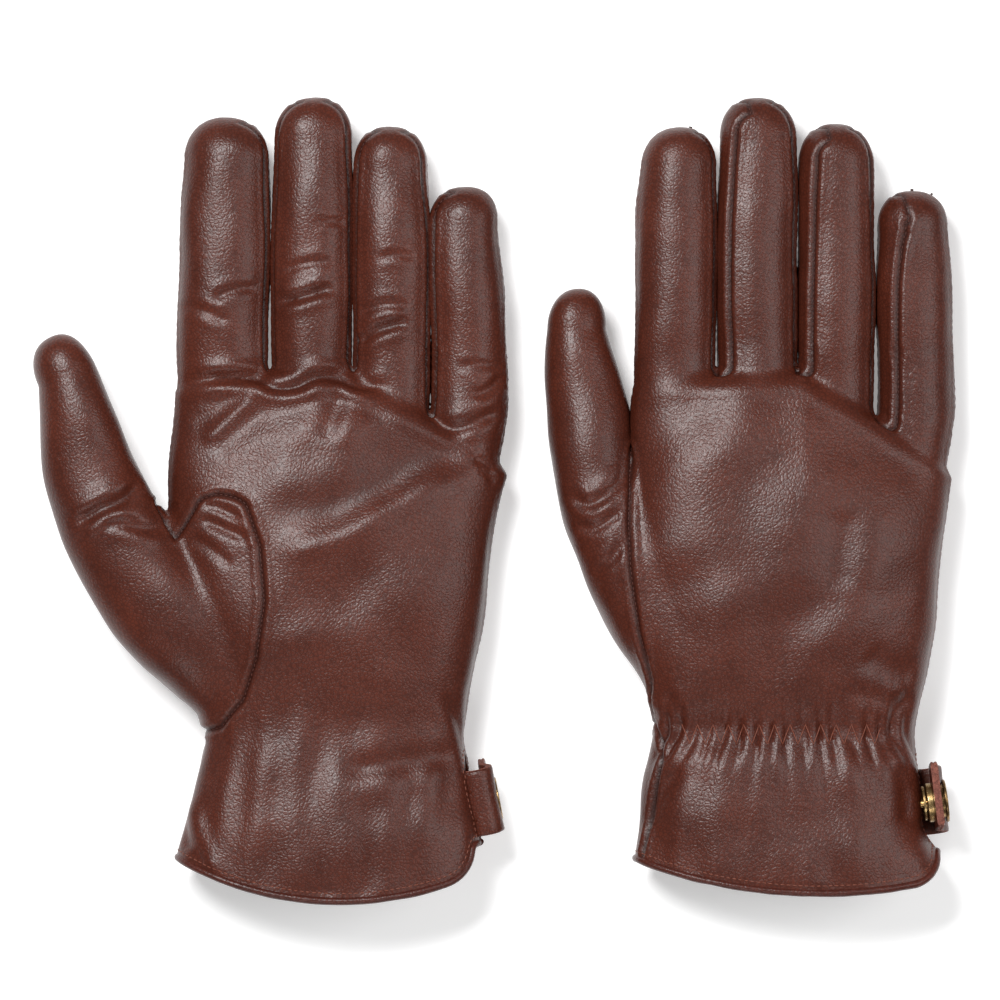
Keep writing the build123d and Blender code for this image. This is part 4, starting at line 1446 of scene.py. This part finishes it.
def cord_tree(material: bpy.types.Material) -> NodeTree:
    """One unbroken thread along each line."""
    tree = NodeTree("thread_run", {"Radius": 0.2 * MM})
    curve = tree.add("GeometryNodeMeshToCurve", {0: tree.start.outputs["Geometry"]})
    radius = tree.start.outputs["Radius"]
    ring = tree.add("GeometryNodeCurvePrimitiveCircle", {"Resolution": 6, "Radius": radius})
    tube = tree.add(
        "GeometryNodeCurveToMesh",
        {"Curve": curve.outputs[0], "Profile Curve": ring.outputs[0], "Fill Caps": True},
    )
    tree.close(tube.outputs[0], material)
    return tree


def lines_object(name: str, lines: list) -> bpy.types.Object:
    """Open lines as a mesh of edges."""
    points = np.concatenate(lines)
    edges = []
    start = 0
    for line in lines:
        edges += [(start + n, start + n + 1) for n in range(len(line) - 1)]
        start += len(line)
    mesh = bpy.data.meshes.new(name)
    mesh.from_pydata((points * MM).tolist(), edges, [])
    return new_object(name, mesh)


class Maker:
    """Builds one glove's pieces and hands them to the frame."""

    def __init__(self, plan: GlovePlan, finishes: dict) -> None:
        """Build the surface of one glove."""
        self.plan = plan
        self.finishes = finishes
        self.body = f"{plan.name}_glove"
        self.form, self.shell = build_shell(plan)
        keep = self.shell.labels >= CUT
        self.surface = BVHTree.FromPolygons(self.shell.points.tolist(), self.shell.quads[keep].tolist())
        row = plan.hand_at(SEAMS.strap_y, SEAMS.strap_y - STRAP_REACH, SEAMS.strap_y + STRAP_REACH)
        self.wall_point = np.array([row[0, 1], SEAMS.strap_y, row[0, 2] + row[0, 3] / 2])
        way = np.array([row[1, 1] - row[2, 1], -2 * STRAP_REACH, 0.0])
        self.along_wall = way / np.linalg.norm(way)
        self.outward = np.array([-self.along_wall[1], self.along_wall[0], 0.0])

    def paint(self, piece: bpy.types.Object, finish: str) -> None:
        """Give a piece one finish and no other."""
        piece.data.materials.clear()
        piece.data.materials.append(self.finishes[finish])

    def hand_over(self, piece: bpy.types.Object, part: str, finish: str = "") -> None:
        """Give a piece its body, and hide the CAD node it stands for.

        Args:
            piece: the piece.
            part: the CAD node it replaces, without the glove's name; none for "".
            finish: its finish, where it doesn't already have one.
        """
        if finish:
            self.paint(piece, finish)
        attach(piece, self.body)
        if part:
            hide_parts(f"{self.plan.name}_{part}")

    def stitch_row(self, name: str, lines: list, size: StitchSize) -> bpy.types.Object:
        """Stitches along lines."""
        values = {"Pitch": size.pitch * MM, "Length": size.length * MM, "Radius": size.radius * MM}
        return self.stitches.apply(lines_object(f"{self.plan.name}_{name}", lines), values)

    def surface_normals(self, line: np.ndarray) -> np.ndarray:
        """The surface's normal nearest to each point of a line."""
        return np.array([np.array(self.surface.find_nearest(Vector(p))[1]) for p in line])

    def snap_line(self, line: np.ndarray, lift: float) -> np.ndarray:
        """A line laid on the surface, and lifted off it."""
        laid = []
        for point in line:
            spot, normal, _, _ = self.surface.find_nearest(Vector(point))
            laid.append(np.array(spot) + lift * np.array(normal))
        return np.array(laid)

    def leather(self) -> None:
        """The palm and back panels, the thumb and the fourchettes."""
        for number in range(CUT, len(LABELS)):
            faces = self.shell.quads[self.shell.labels == number]
            name = f"{self.plan.name}_{LABELS[number]}_skin"
            piece = piece_from_faces(name, self.shell.points, faces, self.shell.seam)
            thicken(piece, 1.0)
            self.hand_over(piece, LABELS[number], "leather")

    def lining(self) -> None:
        """The knitted lining, and the elastic under the back of the wrist."""
        form = self.form
        layers = (("lining", 2.4, 0.8, "lining"), ("wrist_elastic", 1.5, 0.4, "elastic"))
        for part, inset, wall, finish in layers:
            q, quads = form.net(LINING_STEP, inset)
            q = form.settle(q, inset, 1)
            p = form.true_place(q)
            normals = point_normals(p, quads)
            sink = 1.6 * wrist_pinch(form, p, normals) - 0.8 * bell(p[:, 1] - GATHER_Y, 12.0)
            p = p + normals * sink[:, None]
            middles = p[quads].mean(axis=1)
            keep = (form.hem_depth(middles) > SEAMS.hem_cut + 1.2) & (form.vent_depth(middles) < -1.0)
            if part == "wrist_elastic":
                back = form.palm * (middles[:, 2] - SEAMS.hand_z) < -9.0
                keep = back & (middles[:, 1] > -79.5) & (middles[:, 1] < -67.5)
            piece = piece_from_faces(f"{self.plan.name}_{part}_skin", p, quads[keep], None)
            thicken(piece, wall)
            self.hand_over(piece, part, finish)

    def hem(self) -> None:
        """The piping round the hem and the stitches above it."""
        run = chain(self.shell.cut_edges(0))
        line = calm_line(self.shell.points[run], 6)
        line = even_line(line, 1.5)
        out = calm_line(self.surface_normals(line), 4)
        turns = np.linspace(0, 2 * math.pi, 17)[:-1]
        depth = 1.5 * np.cos(turns) - 0.75
        width = 1.25 * np.sin(turns)
        ahead = np.gradient(line, axis=0)
        side = np.cross(ahead, out)
        middle = self.shell.points.mean(axis=0)
        inward = np.sign((side * (middle - line)).sum(1).mean())
        profile = np.stack([depth, width - inward * 0.45], axis=1)
        scale = 1.0 + 0.04 * ripple(line, 9.0, self.plan.seed + 7)
        scale[0] = scale[-1] = 0.85
        piece = sweep(f"{self.plan.name}_hem_roll", line, out, profile, scale)
        fix_outside(piece)
        self.hand_over(piece, "hem_piping", "leather_dark")
        side /= np.linalg.norm(side, axis=1)[:, None]
        row = self.snap_line(line + inward * 1.9 * side, 0.02)[2:-2]
        stitches = self.stitch_row("hem_stitches", [row], HEM_STITCH)
        self.hand_over(stitches, "hem_stitching")

    def threads(self) -> None:
        """The stitches beside the vent, along the seams and across the elastic."""
        run = chain(self.shell.cut_edges(1))
        line = even_line(calm_line(self.shell.points[run], 6), 1.0)
        ahead = np.gradient(line, axis=0)
        side = np.cross(ahead, self.surface_normals(line))
        side /= np.linalg.norm(side, axis=1)[:, None] + 1e-9
        trial = self.form.vent_depth(line + side) - self.form.vent_depth(line - side)
        row = self.snap_line(line - np.sign(trial.mean()) * 1.9 * side, 0.02)[2:-2]
        rows = self.stitch_row("vent_stitches", [row], VENT_STITCH)
        self.hand_over(rows, "vent_stitching")

        lines = []
        for number in range(CUT, len(LABELS) - 1):
            for other in range(number + 1, len(LABELS)):
                pairs = self.shell.edges(number, other)
                if len(pairs) > 6:
                    run = chain(pairs)
                    lines.append(self.shell.points[run] + 0.05 * self.shell.normals[run])
        seams = self.stitch_row("seam_threads", lines, SEAM_STITCH)
        self.hand_over(seams, "", "thread_dark")
        self.zigzag()

    def zigzag(self) -> None:
        """The zigzag thread that holds the elastic."""
        low, high = GATHER_Y - ZIGZAG.below, GATHER_Y + ZIGZAG.above
        step = GATHER_PITCH / 2
        row = self.plan.hand_at(low)[0]
        left, right = row[0] + ZIGZAG.margin, row[1] - ZIGZAG.margin
        count = int((right - left) / step)
        from_z, way = (80.0, -1.0) if self.form.palm < 0 else (-40.0, 1.0)
        points = []
        for number in range(count):
            a = np.array([left + step * number, low if number % 2 else high])
            b = np.array([left + step * (number + 1), high if number % 2 else low])
            for share in np.linspace(0, 1, 7)[:-1]:
                x, y = a + share * (b - a)
                spot, normal, _, _ = self.surface.ray_cast(Vector((x, y, from_z)), Vector((0, 0, way)))
                if spot is not None:
                    points.append(np.array(spot) + ZIGZAG.lift * np.array(normal))
        row = lines_object(f"{self.plan.name}_zigzag", [np.array(points)])
        thread = self.cords.apply(row, {"Radius": 0.2 * MM})
        self.hand_over(thread, "wrist_zigzag")

    def strap_place(self, u: float, v: float, w: float = 0.0) -> np.ndarray:
        """A point near the strap: u out of the wall, v towards the palm side, w along the wall."""
        up = np.array([0, 0, self.form.palm * v])
        return self.wall_point + u * self.outward + up + w * self.along_wall

    def strap(self) -> None:
        """The snap tab: doubled leather with raw edges, from under the palm edge of the vent."""
        route = [(-5.5, 2.0), (-3.0, 3.6), (-0.6, 5.0), (2.2, 5.8), (4.8, 5.2), (6.3, 3.2), (6.2, 0.8),
                 (5.3, -1.2), (4.6, -3.2), (4.55, -6.0), (4.6, -9.5), (4.65, -13.8)]
        line = even_line(smooth_line(route, 8), 0.8)
        path = np.array([self.strap_place(u, v, -0.16 * (5.0 - v)) for u, v in line])
        flat = np.gradient(line, axis=0)
        flat /= np.linalg.norm(flat, axis=1)[:, None]
        out = np.array([-b * self.outward + np.array([0, 0, self.form.palm * a]) for a, b in flat])
        profile = strap_profile(10.5, 1.2)
        share = np.linspace(0, 1, len(path))
        width = 1.0 - 0.05 * ramp(share, 0.94, 1.0)
        piece = sweep(f"{self.plan.name}_tab_leather", path, out, profile, width)
        fix_outside(piece)
        piece.data.materials.append(self.finishes["leather"])
        piece.data.materials.append(self.finishes["raw_edge"])
        along_wall = Vector(self.along_wall)
        normals = [face.normal.copy() for face in piece.data.polygons]
        for face, normal in zip(piece.data.polygons, normals):
            tip = abs(normal.z) > 0.9 and (Vector(path[-1]) * MM - face.center).length < 0.012
            face.material_index = int(abs(normal.dot(along_wall)) > 0.6 or (tip and len(face.vertices) > 8))
        piece.data.set_sharp_from_angle(angle=EDGE_ANGLE)
        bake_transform(piece)
        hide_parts(f"{self.plan.name}_snap_tab")

    def snap(self) -> None:
        """Give the brass pieces their finish."""
        for part in ("snap_cap", "snap_socket", "snap_stud", "snap_post"):
            node = frame["nodes"][f"{self.plan.name}_{part}"]
            self.paint(node, "brass_dark" if part == "snap_cap" else "brass")
            node.data.shade_smooth()
            node.data.set_sharp_from_angle(angle=math.radians(35.0))

    def build(self) -> None:
        """Build every piece of the glove."""
        self.stitches = stitch_tree(self.finishes["thread"])
        self.cords = cord_tree(self.finishes["thread"])
        self.leather()
        self.lining()
        self.hem()
        self.threads()
        self.strap()
        self.snap()


def strap_profile(half_width: float, half_thick: float) -> np.ndarray:
    """The tab's section: two layers of leather whose edges show a fine line between them."""
    half = [(0.12, -0.975), (0.35, -1.0), (0.82, -0.985), (1.0, -0.93)]
    edge = [(-a, b) for a, b in reversed(half)] + half
    across = [(1.03, -0.8), (1.0, -0.5), (1.0, 0.0), (1.0, 0.5), (1.03, 0.8)]
    one_way = [(a, b) for a, b in edge] + across
    other_way = [(-a, -b) for a, b in one_way]
    return np.array([(a * half_thick, b * half_width) for a, b in one_way + other_way])


def fix_outside(piece: bpy.types.Object) -> None:
    """Turn a closed piece's faces outwards if they point inwards."""
    points = np.array([v.co for v in piece.data.vertices])
    volume = 0.0
    for face in piece.data.polygons:
        corners = points[list(face.vertices)]
        for n in range(1, len(corners) - 1):
            volume += np.dot(corners[0], np.cross(corners[n], corners[n + 1]))
    if volume < 0:
        piece.data.flip_normals()


# ---------------------------------------------------------------- floor, light and camera


def add_floor() -> None:
    """A pale floor under the gloves."""
    mesh = bpy.data.meshes.new("floor")
    size = 3.0
    corners = [(-size, -size, 0), (size, -size, 0), (size, size, 0), (-size, size, 0)]
    mesh.from_pydata(corners, [], [(0, 1, 2, 3)])
    floor = new_object("floor", mesh)
    floor.location.z = -0.0002
    g = Graph("floor")
    pale, white = (0.90, 0.90, 0.90, 1.0), (1.0, 1.0, 1.0, 1.0)
    paint = g.finish(base_color=pale, roughness=0.9, emission_color=white, emission_strength=0.28)
    mesh.materials.append(paint)


def add_light(name: str, place: tuple, size: tuple, watts: float) -> None:
    """A soft rectangular light that points at the gloves."""
    data = bpy.data.lights.new(name, "AREA")
    data.shape = "RECTANGLE"
    data.size, data.size_y = size
    data.energy = watts
    lamp = new_object(name, data)
    lamp.location = place
    lamp.rotation_euler = (-Vector(place)).to_track_quat("-Z", "Y").to_euler()


def add_camera() -> None:
    """A camera that looks straight down with a long lens."""
    data = bpy.data.cameras.new("camera")
    view_width, distance, middle_z = 0.3176, 2.2, 0.018
    data.lens = data.sensor_width * distance / view_width
    camera = new_object("camera", data)
    camera.location = (0.0017, -0.0003, middle_z + distance)
    bpy.context.scene.camera = camera


def light_scene() -> None:
    """Add the world, the lights, the floor and the camera."""
    world = bpy.data.worlds.new("studio")
    world.use_nodes = True
    sky = world.node_tree.nodes["Background"]
    sky.inputs["Color"].default_value = (1.0, 1.0, 1.0, 1.0)
    sky.inputs["Strength"].default_value = 0.17
    scene = bpy.context.scene
    scene.world = world
    scene.view_settings.view_transform = "Standard"
    add_light("key", (-0.35, 0.50, 1.20), (0.45, 0.35), 19.0)
    add_light("fill", (0.75, 0.1, 1.0), (0.5, 0.8), 5.5)
    add_light("front", (-0.1, -0.9, 0.9), (0.8, 0.3), 3.5)
    add_floor()
    add_camera()


def make_finishes() -> dict:
    """Every material, by name."""
    return {
        "leather": LeatherFinish("brown leather").build(),
        "leather_dark": LeatherFinish(
            "piping leather", light=rgba(88, 40, 30), dark=rgba(60, 25, 18)
        ).build(),
        "raw_edge": RawEdgeFinish("cut edge").build(),
        "lining": KnitFinish("lining knit").build(),
        "elastic": KnitFinish(
            "elastic", light=rgba(60, 44, 36), dark=rgba(34, 24, 20), stitch=0.0008
        ).build(),
        "thread": ThreadFinish("thread").build(),
        "thread_dark": ThreadFinish(
            "seam thread", light=rgba(96, 44, 32), dark=rgba(56, 24, 18)
        ).build(),
        "brass": BrassFinish("brass", bright=rgba(198, 168, 118), dull=rgba(150, 118, 74)).build(),
        "brass_dark": BrassFinish(
            "antique brass", bright=rgba(150, 122, 84), dull=rgba(92, 70, 46)
        ).build(),
    }


def main() -> None:
    """Build both gloves, the floor, the lights and the camera."""
    logging.basicConfig(level=logging.INFO)
    finishes = make_finishes()
    for plan in (LEFT, RIGHT):
        LOG.info("building the %s glove", plan.name)
        Maker(plan, finishes).build()
    light_scene()


if __name__ == "__main__":
    main()
